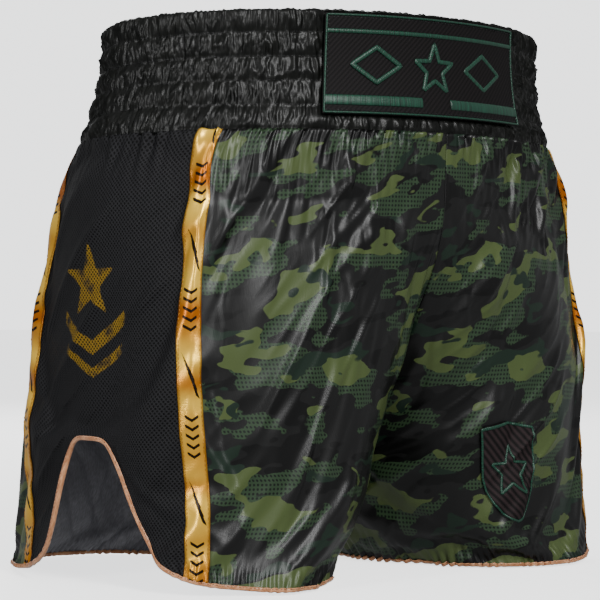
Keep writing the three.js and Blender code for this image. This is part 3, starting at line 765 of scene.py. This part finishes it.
# Patch cloth: a fine diagonal rib, close to matt. The badge's rib is coarser and embossed.
TWILL = diagonal_twill("woven_twill_patch", "#070606", "#151112", 0.0012, math.radians(45))
CARBON = diagonal_twill("embossed_carbon_twill", "#060505", "#2c2223", 0.0022, math.radians(-45))
GREEN_THREAD = embroidery("rayon_embroidery_green", "#06241a", "#154a36")
# Rubber core covered in polyester yarn: matt, with ribs across its width.
ELASTIC = plain_cloth(
    "knitted_elastic", "#161618", "#2b2b2e", 500, 1200, 0.6, 0.0006, Roughness=0.85,
)
# Off-white woven label, blank, with a faint gloss.
LABEL = plain_cloth("woven_satin_label", "#cfcdc4", "#efede5", 1200, 1200, 0.3, 0.0002, Roughness=0.5)
GOLD_THREAD = sewing_thread("polyester_sewing_thread_amber", "#7a4408", "#c98a26")
COPPER_THREAD = sewing_thread("polyester_sewing_thread_copper", "#6b3418", "#b06c42")
THREAD = sewing_thread("polyester_sewing_thread_black", "#0c0c0d", "#1e1e20")


# ---- Panels ----

FINE = 1.5 * MM


def panel(name, side, first, last, width, material, emblem=None):
    """A cloth panel between two base angles, from the waist seam down to the hem."""
    columns, rows = int(width / FINE), int(SEAM_Z / (FINE * 1.2))
    base = first + (last - first) * np.linspace(0, 1, columns + 1)[None, :]
    down = np.linspace(0, 1, rows + 1)[:, None]
    height = SEAM_Z + (hem_height(base) - SEAM_Z) * down
    outer = body_place(side, base, height, 0)
    inner = body_place(side, base, height, -CLOTH)
    flat = smooth_form(side, np.broadcast_to(base, height.shape), height)
    along = row_lengths(flat) * side
    uv = np.stack([along, height], -1)
    attributes = []
    if emblem:
        attributes = [("print_edge", emblem(along, height) / MM)]
    return sheet_mesh(name, outer, inner, uv, [material, LINING], side == RIGHT, attributes)


# ---- Outlines and distances to them ----

def star_outline(radius, waist=0.42):
    turns = math.pi / 2 + np.arange(10) * math.pi / 5
    reach = np.where(np.arange(10) % 2, waist * radius, radius)
    return np.stack([reach * np.cos(turns), reach * np.sin(turns)], -1)


def shield_outline(radius):
    shoulder = 0.78 * radius
    turns = math.pi + np.arange(13) * math.pi / 12
    lower = np.stack([shoulder * np.cos(turns), 0.2 * radius + 1.2 * radius * np.sin(turns)], -1)
    top = [[shoulder, 0.85 * radius], [0, radius], [-shoulder, 0.85 * radius]]
    return np.concatenate([np.array(top), lower])


def distance_to(outline, x, y):
    """Signed distance from points to a closed outline: negative inside."""
    best = np.full(x.shape, np.inf)
    inside = np.zeros(x.shape, bool)
    for (ax, ay), (bx, by) in zip(outline, np.roll(outline, -1, 0)):
        ex, ey = bx - ax, by - ay
        share = np.clip(((x - ax) * ex + (y - ay) * ey) / (ex * ex + ey * ey), 0, 1)
        best = np.minimum(best, np.hypot(x - ax - share * ex, y - ay - share * ey))
        crosses = (ay > y) != (by > y)
        with np.errstate(divide="ignore", invalid="ignore"):
            inside ^= crosses & (x < ax + (y - ay) / (by - ay) * ex)
    return np.where(inside, -best, best)


def chevron(half_width, drop, thick):
    return np.array([
        [-half_width, drop], [0, 0], [half_width, drop],
        [half_width, drop + thick], [0, thick], [-half_width, drop + thick],
    ])


def side_emblem(along, height):
    """A star over two chevrons, 74 mm across, on the side panel."""
    x, y = along, height - 168 * MM
    shapes = [
        star_outline(24 * MM) + [0, 18 * MM],
        chevron(36 * MM, 18 * MM, 9 * MM) + [0, -26 * MM],
        chevron(30 * MM, 15 * MM, 6 * MM) + [0, -40 * MM],
    ]
    return np.minimum.reduce([distance_to(shape, x, y) for shape in shapes])


# ---- Ribbons ----

def ribbon_marks(across, along):
    """Printed marks: a run of small chevrons, then three slanted strokes, over and over."""
    repeat = 74 * MM
    place = np.mod(along, repeat)
    best = np.full(across.shape, np.inf)
    for k in range(5):
        arrow = chevron(4 * MM, 2.6 * MM, 1.9 * MM) + [0, (6 + 5.4 * k) * MM]
        best = np.minimum(best, distance_to(arrow, across, place))
    slash = np.array([[-4.2, 0], [-1.6, 2], [3.8, 18], [0.4, 11]]) * MM
    for k in range(3):
        shift = [(k - 1) * 1.4 * MM, (41 + 5 * k) * MM]
        best = np.minimum(best, distance_to(slash + shift, across, place))
    return best


def ribbon(name, side, base_angle):
    across = np.linspace(-0.5, 0.5, 23)[None, :] * RIBBON_WIDTH
    down = np.linspace(0, 1, 280)[:, None]
    end = hem_height(base_angle + across / LEG_RADIUS) + 1.6 * MM
    height = SEAM_Z - 0.2 * MM + (end - SEAM_Z) * down
    base = base_angle + across / base_speed(side, base_angle, height)
    rounded = 0.15 * MM * np.cos(across / RIBBON_WIDTH * math.pi)
    outer = body_place(side, base, height, 0.75 * MM + rounded)
    inner = body_place(side, base, height, 0.2 * MM)
    uv = np.stack(np.broadcast_arrays(across, height), -1)
    wide = np.broadcast_to(across, height.shape)
    rim = smooth(np.abs(wide), 0.36 * RIBBON_WIDTH, 0.5 * RIBBON_WIDTH) * 0.8
    attributes = [("print_edge", ribbon_marks(wide, height) / MM), ("ribbon_rim", rim)]
    return sheet_mesh(name, outer, inner, uv, [GOLD], side == RIGHT, attributes)


def base_speed(side, base, height):
    """Metres of cloth for each radian of base angle."""
    step = 0.01
    apart = smooth_form(side, base + step, height) - smooth_form(side, base - step, height)
    return np.linalg.norm(apart, axis=-1) / (2 * step)


# ---- Hem binding ----

def hem_line(side, count):
    """The cloth's lower edge once round a leg, evenly spaced, with its directions."""
    fine = np.linspace(0, FULL_TURN, 3001)
    rough = smooth_form(side, fine, hem_height(fine))
    along = np.concatenate([[0], np.cumsum(np.linalg.norm(np.diff(rough, axis=0), axis=1))])
    angle = np.interp(np.linspace(0, along[-1], count + 1)[:-1], along, fine)
    height = hem_height(angle)
    edge = body_place(side, angle, height, 0)
    ahead = np.roll(edge, -1, 0) - np.roll(edge, 1, 0)
    ahead /= np.linalg.norm(ahead, axis=1)[:, None]
    up = smooth_form(side, angle, height + 3 * MM) - smooth_form(side, angle, height)
    up -= (up * ahead).sum(1)[:, None] * ahead
    up /= np.linalg.norm(up, axis=1)[:, None]
    out = smooth_form(side, angle, height, 2 * MM) - smooth_form(side, angle, height)
    out -= (out * ahead).sum(1)[:, None] * ahead
    out /= np.linalg.norm(out, axis=1)[:, None]
    return edge, up, out, along[-1]


def hem_binding(name, side):
    count = 700
    edge, up, out, length = hem_line(side, count)
    turns = np.linspace(0, math.pi, 9)
    # The tape's section in millimetres: out from the cloth's face, and up from its edge.
    profile = [(0.3, 2.0), (0.65, 1.9), (0.8, 1.0)]
    profile += [(-0.4 + 1.15 * math.cos(t), -0.1 - 0.7 * math.sin(t)) for t in turns]
    profile += [(-1.6, 1.0), (-1.5, 1.9), (-1.1, 2.0), (-1.0, 0.6), (0.2, 0.6)]
    distance = np.linspace(0, length, count, endpoint=False)
    pucker = waves(distance, 0 * distance, BINDING_SEED[side], (4 * MM, 7 * MM), count=6)
    rows = []
    for depth, reach in profile:
        swell = 1 + 0.05 * pucker * (reach > -0.5)
        rows.append(edge + out * (depth * swell * MM)[:, None] + up * reach * MM)
    grid = np.stack(rows, 0)
    widths = np.linspace(0, 12 * MM, len(profile))
    uv = np.stack(np.broadcast_arrays(distance[None, :], widths[:, None]), -1)
    return ring_mesh(name, grid, uv, [COPPER], side == RIGHT)


# ---- Waistband ----

def ruching(angle, height, seed):
    """Relief of the gathered casing: narrow pleats with sharp valleys, which shift from one elastic
    row to the next and are pinched at the stitching between the rows."""
    pitch = (TOP_Z - SEAM_Z) / ELASTIC_ROWS
    level = (height - SEAM_Z) / pitch
    row = np.clip(np.floor(level), 0, ELASTIC_ROWS - 1)
    within = np.clip(level - row, 0, 1)
    along = angle * WAIST_RADIUS
    pleats = np.zeros(np.broadcast(angle, height).shape)
    drift = 2.2 * MM * waves(along, height, seed, (16 * MM, 50 * MM), (-0.9, 0.9))
    broad = waves(along + drift, height, seed + 100, (9 * MM, 15 * MM), (-0.35, 0.35), 7)
    for k in range(ELASTIC_ROWS):
        own = waves(along + drift, height, seed + 200 + k, (5 * MM, 8.5 * MM), (-0.3, 0.3), 6)
        finer = waves(along, height, seed + 300 + k, (3.2 * MM, 4.6 * MM), (-0.4, 0.4), 5)
        cut = 0.75 - np.abs(np.sin(1.5 * own)) ** 0.75 + 0.22 * finer
        pleats = np.where(row == k, cut, pleats)
    deep = 0.7 - np.abs(np.sin(1.2 * broad + 0.5)) ** 0.8
    puff = np.sin(math.pi * within) ** 0.5
    held = 0.35 + 0.65 * np.sin(math.pi * within) ** 0.7
    return PUFF * puff + BROAD_PLEAT * deep + NARROW_PLEAT * pleats * held


PUFF, BROAD_PLEAT, NARROW_PLEAT = 1.7 * MM, 1.5 * MM, 2.2 * MM
# The waist's mean radius. The noise is fitted to a leg, so round the waist its two ends meet in a
# small step at the middle of the front, where the patch covers it outside.
WAIST_RADIUS = 137 * MM


def under_patch(angle, height):
    """1 where the front patch presses the ruching flat, 0 away from it."""
    reach = PATCH_HALF_ANGLE
    sideways = 1 - smooth(np.abs(wrapped(angle) - PATCH_ANGLE), reach * 0.96, reach * 1.08)
    upright = 1 - smooth(PATCH_LOW.z - height, -1 * MM, 3 * MM)
    return sideways * upright


def wrapped(angle):
    return (angle + math.pi) % FULL_TURN - math.pi


PRESSED = 0.85                       # share of the ruching that the patch presses flat
PATCH_HEIGHT = PATCH_HIGH.z - PATCH_LOW.z
PATCH_HALF, PATCH_SHIFT = 79 * MM, -7 * MM
PATCH_ANGLE, PATCH_HALF_ANGLE = PATCH_SHIFT / TOP_HALF_WIDTH, PATCH_HALF / TOP_HALF_WIDTH


def waistband():
    """The casing: one cloth ruched outside, folded over the top and ruched inside, with a cavity for
    the elastics between its two walls."""
    columns = 900
    walls = 52
    angle = np.linspace(0, FULL_TURN, columns, endpoint=False)[None, :]
    upright = np.linspace(SEAM_Z - 1.5 * MM, TOP_Z - 2 * MM, walls)[:, None]
    plain = 1 - PRESSED * under_patch(angle, upright)
    outside = waist_place(angle, upright, ruching(angle, upright, 300) * plain - CASING_INSET)
    free = 1 - 0.9 * (np.abs(np.abs(wrapped(angle)) - math.pi) < LABEL_HALF_ANGLE)
    downward = upright[::-2]
    lining = ruching(angle, downward, 500) * 0.4 * free
    inside = waist_place(angle, downward, -CASING_DEPTH - lining)
    turns = np.linspace(0.15, 0.85, 5)[:, None] * math.pi
    crest = ruching(angle, np.full((1, 1), TOP_Z - 4 * MM), 300) * 0.7 - CASING_INSET
    half = CASING_DEPTH / 2
    over = waist_place(
        angle, TOP_Z - 2.2 * MM + (2.2 * MM + crest * 0.5) * np.sin(turns),
        -half + (half + crest) * np.cos(turns),
    )
    level = np.linspace(SEAM_Z + 0.5 * MM, TOP_Z - 1.4 * MM, 9)[:, None]
    cavity_in = waist_place(angle, level, np.full((1, 1), -5.2 * MM))
    cavity_out = waist_place(angle, level[::-1], np.full((1, 1), -3.3 * MM))
    grid = np.concatenate([outside, over, inside, cavity_in, cavity_out])
    along = angle * (TOP_HALF_WIDTH + TOP_HALF_DEPTH) / 2
    across = np.linspace(0, 0.3, len(grid))[:, None]
    uv = np.stack(np.broadcast_arrays(along, across), -1)
    return ring_mesh("waistband_ruched_casing", grid[::-1], uv[::-1], [WAIST_SATIN])


LABEL_HALF_ANGLE = 0.26
CASING_INSET = 1.8 * MM              # the pleats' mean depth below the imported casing's face


def elastic(row):
    low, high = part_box(f"elastic_row_{row}")
    angle = np.linspace(0, FULL_TURN, 240, endpoint=False)[None, :]
    faces = [(-3.6, share) for share in (0, 0.25, 0.5, 0.75, 1)]
    corners = np.array(faces + [(-4.9, share) for _, share in faces[::-1]])
    height = low.z + (high.z - low.z) * corners[:, 1:]
    rib = 0.12 * MM * np.cos(240 * angle)
    grid = waist_place(angle, height, corners[:, :1] * MM + rib * (corners[:, :1] > -4))
    across = np.linspace(0, 0.03, len(corners))[:, None]
    uv = np.stack(np.broadcast_arrays(angle * 0.14, across), -1)
    return ring_mesh(f"elastic_{row}", grid[::-1], uv[::-1], [ELASTIC])


def size_label():
    """A blank woven label inside the back of the waistband."""
    low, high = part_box("size_label")
    across = np.linspace(-1, 1, 40)[None, :]
    up = np.linspace(0, 1, 24)[:, None]
    angle = math.pi - across * (high.x - low.x) / 2 / TOP_HALF_WIDTH
    height = high.z - (high.z - low.z) * up
    curl = 0.35 * MM * np.cos(5 * across) * up
    outer = waist_place(angle, height, -CASING_DEPTH - 1.6 * MM - curl)
    inner = waist_place(angle, height, -CASING_DEPTH - 1.2 * MM - curl)
    uv = np.stack(np.broadcast_arrays(across * 0.022, height), -1)
    return sheet_mesh("size_label_blank", outer, inner, uv, [LABEL])


# ---- Raised embroidery ----

def stroke(name, path, place, width, rise, material, closed=True):
    """A rounded satin-stitch cord laid along a path drawn on a surface.
    place(x, y, depth) puts a point of the drawing on the surface."""
    path = np.array(path)
    if closed:
        path = np.concatenate([path, path[:1]])
    steps = np.linalg.norm(np.diff(path, axis=0), axis=1)
    along = np.concatenate([[0], np.cumsum(steps)])
    count = max(8, int(along[-1] / (0.9 * MM)))
    marks = np.linspace(0, along[-1], count + 1)
    if closed:
        marks = marks[:-1]
    line = np.stack([np.interp(marks, along, path[:, k]) for k in (0, 1)], -1)
    ahead = np.roll(line, -1, 0) - np.roll(line, 1, 0) if closed else np.gradient(line, axis=0)
    ahead /= np.maximum(np.linalg.norm(ahead, axis=1)[:, None], 1e-9)
    aside = np.stack([-ahead[:, 1], ahead[:, 0]], -1)
    turns = np.linspace(0, math.pi, 8)
    section_points = [(math.cos(t), math.sin(t)) for t in turns]
    rows = []
    for across, lift in section_points + [(-0.9, -0.25), (0.9, -0.25)]:
        spot = line + aside * (across * width / 2)
        rows.append(place(spot[:, 0], spot[:, 1], np.full(len(spot), lift * rise)))
    grid = np.stack(rows, 1)
    uv = np.stack(np.broadcast_arrays(marks[:, None], np.linspace(0, width, len(rows))[None, :]), -1)
    return ring_mesh(name, grid, uv, [material], flip=True, closed_rows=closed)


def filled(name, outline, place, low, high, material):
    """A flat badge with a rounded edge, laid on a surface."""
    outline = np.array(outline)
    dense = []
    for start, end in zip(outline, np.roll(outline, -1, 0)):
        parts = max(1, int(np.linalg.norm(end - start) / (2 * MM)))
        dense += [start + (end - start) * k / parts for k in range(parts)]
    rim = np.array(dense[:len(dense) // 2 * 2])      # an even count, which ring_mesh can close
    shares = np.concatenate([np.linspace(0.02, 0.97, 14), [0.99, 1.0]])
    lifts = np.concatenate([np.full(14, high), [high - 0.12 * (high - low), low + 0.4 * (high - low)]])
    top = [place(rim[:, 0] * s, rim[:, 1] * s, np.full(len(rim), d)) for s, d in zip(shares, lifts)]
    bottom = [place(rim[:, 0] * s, rim[:, 1] * s, np.full(len(rim), low)) for s in shares[::-1]]
    grid = np.stack(top + bottom, 0)
    flat = np.concatenate([shares, shares[::-1]])[:, None, None] * rim[None]
    return ring_mesh(name, grid, flat, [material], closed_rows=False)


def patch_place(x, y, depth):
    """A point of the patch: x across from its middle, y up from its foot."""
    return waist_place(PATCH_ANGLE + x / TOP_HALF_WIDTH, PATCH_LOW.z + y, PATCH_LIFT + depth)


PATCH_LIFT = 1.9 * MM
THREAD_RISE = 0.9 * MM


def rectangle(left, right, foot, head):
    return [(left, foot), (right, foot), (right, head), (left, head)]


def patch():
    columns, rows = 120, 50
    across = np.linspace(-PATCH_HALF, PATCH_HALF, columns)[None, :]
    up = np.linspace(PATCH_HEIGHT, 0, rows)[:, None]
    sag = 0.5 * MM * np.sin(across / (31 * MM)) * np.sin(up / (17 * MM))
    outer = patch_place(across, up, sag)
    inner = patch_place(across, up, sag - 1.2 * MM)
    uv = np.stack(np.broadcast_arrays(across, up), -1)
    backing = sheet_mesh("front_patch_twill", outer, inner, uv, [TWILL])
    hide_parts("patch_backing")
    made = [(backing, "patch_twill")]

    def lay(name, path, width, node, closed=True):
        piece = stroke(name, path, patch_place, width, THREAD_RISE, GREEN_THREAD, closed)
        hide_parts(*node)
        made.append((piece, "green_thread"))

    edge = PATCH_HALF - 1 * MM
    border = rectangle(-edge, edge, 1 * MM, PATCH_HEIGHT - 1 * MM)
    lay("front_patch_border", border, 1.3 * MM, ["patch_border"])
    bar_z = PATCH_HEIGHT - 10.5 * MM
    lay("front_patch_upper_bar", [(-edge, bar_z), (edge, bar_z)], 2.6 * MM, ["patch_upper_bar"], False)
    for name, side in SIDES.items():
        run = sorted([side * 11 * MM, side * edge])
        path = [(run[0], 8.5 * MM), (run[1], 8.5 * MM)]
        lay(f"front_patch_lower_bar_{name}", path, 6.2 * MM, [f"patch_lower_bar_{name}"], False)
        centre = np.array([side * 43 * MM, 30 * MM])
        diamond = np.array([(17, 0), (0, 10.5), (-17, 0), (0, -10.5)]) * MM + centre
        lay(f"front_patch_diamond_{name}", diamond, 3 * MM, [f"patch_diamond_{name}"])
    star = star_outline(15.5 * MM) + [0, 29 * MM]
    lay("front_patch_star", star, 2.8 * MM, ["patch_star"])
    return made


def shield_place(x, y, depth):
    height = (SHIELD_LOW.z + SHIELD_HIGH.z) / 2 + y
    base = base_for(SHIELD_ANGLE + x / HEM_HALF_DEPTH, height)
    return body_place(LEFT, base, height, 0.6 * MM + depth)


SHIELD_ANGLE = math.radians(74)
SHIELD_RADIUS = (SHIELD_HIGH.z - SHIELD_LOW.z) / 2


def leg_badge():
    shield = filled("left_leg_badge", shield_outline(SHIELD_RADIUS), shield_place, 0, 1.0 * MM, CARBON)
    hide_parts("left_leg_shield")
    outline = stroke(
        "left_leg_badge_outline", shield_outline(SHIELD_RADIUS - 0.8 * MM),
        lambda x, y, d: shield_place(x, y, d + 1.0 * MM), 1.8 * MM, 0.6 * MM, GREEN_THREAD,
    )
    star = stroke(
        "left_leg_badge_star", star_outline(17 * MM),
        lambda x, y, d: shield_place(x, y, d + 1.0 * MM), 1.8 * MM, 0.7 * MM, GREEN_THREAD,
    )
    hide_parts("left_leg_star")
    return [(shield, "patch_twill"), (outline, "green_thread"), (star, "green_thread")]


# ---- Stitches ----

def stitch_tree():
    """Geometry nodes that lay one short thread at every pitch along a run of edges."""
    tree = bpy.data.node_groups.new("stitch_run", "GeometryNodeTree")
    face = tree.interface
    face.new_socket("Run", in_out="INPUT", socket_type="NodeSocketGeometry")
    for name in ("Pitch", "Length", "Thickness"):
        face.new_socket(name, in_out="INPUT", socket_type="NodeSocketFloat")
    face.new_socket("Thread", in_out="INPUT", socket_type="NodeSocketMaterial")
    face.new_socket("Stitches", in_out="OUTPUT", socket_type="NodeSocketGeometry")
    given = add(tree, "NodeGroupInput")
    run = add(tree, "GeometryNodeMeshToCurve", {"Mesh": given["Run"]})[0]
    marks = add(tree, "GeometryNodeCurveToPoints", {"Curve": run, "Length": given["Pitch"]}, mode="LENGTH")
    bead = add(tree, "GeometryNodeMeshUVSphere", {"Segments": 6, "Rings": 4, "Radius": 0.5})[0]
    shape = {"X": given["Thickness"], "Y": given["Thickness"], "Z": given["Length"]}
    size = add(tree, "ShaderNodeCombineXYZ", shape)[0]
    laid = {"Points": marks["Points"], "Instance": bead, "Rotation": marks["Rotation"], "Scale": size}
    threads = add(tree, "GeometryNodeInstanceOnPoints", laid)[0]
    solid = add(tree, "GeometryNodeRealizeInstances", {"Geometry": threads})[0]
    rounded = add(tree, "GeometryNodeSetShadeSmooth", {"Geometry": solid})[0]
    done = add(tree, "GeometryNodeSetMaterial", {"Geometry": rounded, "Material": given["Thread"]})[0]
    add(tree, "NodeGroupOutput", {"Stitches": done})
    return tree


STITCHES = stitch_tree()


def stitch(name, runs, thread, pitch=3.0, length=2.3, thickness=0.5):
    """Rows of stitches along lines of points; sizes in millimetres. A 0.3 mm thread is drawn 0.5 mm
    thick so that it shows."""
    points, edges = [], []
    for run in runs:
        first = len(points)
        points += [tuple(point) for point in run]
        edges += [(k, k + 1) for k in range(first, len(points) - 1)]
    mesh = bpy.data.meshes.new(name)
    mesh.from_pydata(points, edges, [])
    rail = bpy.data.objects.new(name + "_run", mesh)
    bpy.context.scene.collection.objects.link(rail)
    modifier = rail.modifiers.new("stitches", "NODES")
    modifier.node_group = STITCHES
    values = {"Pitch": pitch * MM, "Length": length * MM, "Thickness": thickness * MM, "Thread": thread}
    for item in STITCHES.interface.items_tree:
        if item.name in values:
            modifier[item.identifier] = values[item.name]
    depsgraph = bpy.context.evaluated_depsgraph_get()
    made = bpy.data.meshes.new_from_object(rail.evaluated_get(depsgraph), depsgraph=depsgraph)
    bpy.data.objects.remove(rail)
    piece = bpy.data.objects.new(name, made)
    bpy.context.scene.collection.objects.link(piece)
    return piece


def waistband_stitches():
    """Rows of chain stitch that hold the casing between its elastics."""
    angle = np.linspace(0, FULL_TURN, 1500)
    pitch = (TOP_Z - SEAM_Z) / ELASTIC_ROWS
    runs = []
    for k in range(1, ELASTIC_ROWS):
        height = np.full_like(angle, SEAM_Z + k * pitch + 0.3 * MM)
        plain = 1 - PRESSED * under_patch(angle, height)
        row = waist_place(angle, height, ruching(angle, height, 300) * plain - CASING_INSET + 0.1 * MM)
        shown = np.abs(wrapped(angle) - PATCH_ANGLE) > PATCH_HALF_ANGLE
        breaks = np.where(np.diff(shown.astype(int)) != 0)[0] + 1
        runs += [part for part, seen in zip(np.split(row, breaks), np.split(shown, breaks)) if seen[0]]
    return stitch("waistband_elastic_stitching", runs, THREAD)


def ribbon_stitches(word, side):
    runs = []
    for base_angle in (FRONT_RIBBON[0], REAR_RIBBON[0]):
        for edge in (-6.2 * MM, 6.2 * MM):
            low = hem_height(base_angle + edge / LEG_RADIUS) + 3 * MM
            height = np.linspace(SEAM_Z - 1.5 * MM, low, 200)
            base = base_angle + edge / base_speed(side, base_angle, height)
            runs.append(body_place(side, base, height, 0.85 * MM))
    return stitch(f"{word}_ribbon_stitching", runs, GOLD_THREAD, 2.6, 1.9, 0.4)


def hem_stitches(word, side):
    edge, up, out, _ = hem_line(side, 900)
    run = edge + up * 1.25 * MM + out * 0.78 * MM
    return stitch(f"{word}_hem_stitching", [np.concatenate([run, run[:1]])], COPPER_THREAD, 2.4, 1.7, 0.35)


def patch_stitches():
    edge = PATCH_HALF - 2.4 * MM
    corners = rectangle(-edge, edge, 2.4 * MM, PATCH_HEIGHT - 2.4 * MM)
    run = []
    for (ax, ay), (bx, by) in zip(corners, corners[1:] + corners[:1]):
        share = np.linspace(0, 1, 60)
        run.append(patch_place(ax + (bx - ax) * share, ay + (by - ay) * share, np.full(60, 0.15 * MM)))
    return stitch("front_patch_edge_stitching", [np.concatenate(run)], THREAD, 2.6, 1.9, 0.4)


# ---- Putting the shorts together ----

def follow_leg(piece):
    """Bakes a piece's transform into its mesh points."""
    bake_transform(piece)


def dress_leg(word, side):
    front, rear = FRONT_RIBBON[0], REAR_RIBBON[0]
    ribbons = []
    for base, place in ((front, "front"), (rear, "rear")):
        piece = ribbon(f"{word}_{place}_gold_ribbon", side, base)
        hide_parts(f"{word}_{place}_ribbon_upper", f"{word}_{place}_ribbon_lower")
        ribbons.append((piece, "gold_ribbon"))
    binding = hem_binding(f"{word}_hem_copper_binding", side)
    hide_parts(f"{word}_hem_binding")
    hem = [(binding, "copper_binding"), (hem_stitches(word, side), "copper_binding")]
    badge = leg_badge() if side == LEFT else []
    sewn_on = {
        "front": ribbons[:1] + [(ribbon_stitches(word, side), "gold_ribbon")] + badge,
        "side": ribbons[1:],
        "back": hem,
    }
    for trims in sewn_on.values():
        for piece, slot in trims:
            follow_leg(piece)
    cuts = [
        ("front", 0, front, 0.25, CAMO, "camo_satin", FRONT_CUT, FRONT_AREA, None),
        ("side", front, rear, 0.15, MESH, "black_mesh", SIDE_CUT, SIDE_AREA, side_emblem),
        ("back", rear, FULL_TURN, 0.31, CAMO, "camo_satin", BACK_CUT, BACK_AREA, None),
    ]
    for place, first, last, width, material, slot, flat, area, emblem in cuts:
        piece = panel(f"{word}_{place}_panel", side, first, last, width, material, emblem)
        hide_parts(f"{word}_{place}_panel_upper", f"{word}_{place}_panel_lower")
        follow_leg(piece)
        trims = [made for made, _ in sewn_on[place]]


# Cut sizes of the cloth before it was sewn, in metres: an estimate, as no cut is shown.
FRONT_CUT, FRONT_AREA = (0.30, 0.29), 0.069
SIDE_CUT, SIDE_AREA = (0.17, 0.28), 0.036
BACK_CUT, BACK_AREA = (0.33, 0.29), 0.075


def dress_waist():
    casing = waistband()
    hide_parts("waistband_casing")
    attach(casing, "waist")
    for row in range(1, ELASTIC_ROWS + 1):
        piece = elastic(row)
        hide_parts(f"elastic_row_{row}")
        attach(piece, "waist")
    stitching = [(waistband_stitches(), "waist_satin"), (patch_stitches(), "patch_twill")]
    for piece, slot in patch() + stitching:
        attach(piece, "waist")
    label = size_label()
    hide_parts("size_label")
    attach(label, "waist")


dress_waist()
for side_word, side_sign in SIDES.items():
    dress_leg(side_word, side_sign)


# ---- Floor and light ----

def glowing_paper(name, tone, glow):
    """Matt studio paper, lit from behind so that it stays pale: faint grain and an even glow."""
    material, tree, shader = surface(name, Roughness=0.9, Emission_Strength=glow)
    place = add(tree, "ShaderNodeTexCoord")["Object"]
    grain = add(tree, "ShaderNodeTexNoise", {"Vector": place, "Scale": 40})["Fac"]
    shades = {0: grain, 6: linear(tone), 7: linear("#f7f7f5")}
    tree.links.new(add(tree, "ShaderNodeMix", shades, data_type="RGBA")[2], shader.inputs["Base Color"])
    shader.inputs["Emission Color"].default_value = linear("#f6f7f8")
    return material


def shown_only(piece):
    """Marks a piece of the studio, which shows but sheds no light on the shorts."""
    piece.visible_diffuse = False
    piece.visible_glossy = False


def set_stage():
    bpy.ops.mesh.primitive_plane_add(size=FLOOR_SIZE, location=(0, 0, CAD_BOX[0][2] - 0.5 * MM))
    floor = bpy.context.object
    floor.name = "pale_floor"
    floor.data.materials.append(glowing_paper("matt_studio_paper", "#f1f1ef", FLOOR_GLOW))
    shown_only(floor)
    bpy.ops.mesh.primitive_uv_sphere_add(segments=64, ring_count=32, radius=BACKDROP_RADIUS)
    backdrop = bpy.context.object
    backdrop.name = "pale_backdrop"
    backdrop.visible_shadow = False
    backdrop.data.materials.append(glowing_paper("matt_backdrop_paper", "#f1f1ef", BACKDROP_GLOW))
    shown_only(backdrop)
    world = bpy.data.worlds.new("studio")
    world.use_nodes = True
    light = world.node_tree.nodes["Background"]
    light.inputs["Color"].default_value = linear("#f6f7f8")
    light.inputs["Strength"].default_value = AROUND_LIGHT
    bpy.context.scene.world = world


FLOOR_GLOW, BACKDROP_GLOW = 1.9, 2.2  # close together, so that no edge shows where they meet
FLOOR_SIZE, BACKDROP_RADIUS = 24, 11
AROUND_LIGHT = 0.4


def add_softbox(name, place, size, power):
    data = bpy.data.lights.new(name, "AREA")
    data.shape = "RECTANGLE"
    data.size, data.size_y = size
    data.energy = power
    lamp = bpy.data.objects.new(name, data)
    lamp.location = place
    lamp.rotation_euler = (Vector((0, 0, 0.17)) - Vector(place)).to_track_quat("-Z", "Y").to_euler()
    bpy.context.scene.collection.objects.link(lamp)


set_stage()
add_softbox("key_softbox", (-0.5, -1.7, 1.2), (0.35, 1.0), 34)
add_softbox("side_softbox", (-1.9, -0.4, 0.7), (0.3, 1.0), 16)
add_softbox("back_softbox", (0.9, 1.6, 1.2), (0.8, 0.8), 20)
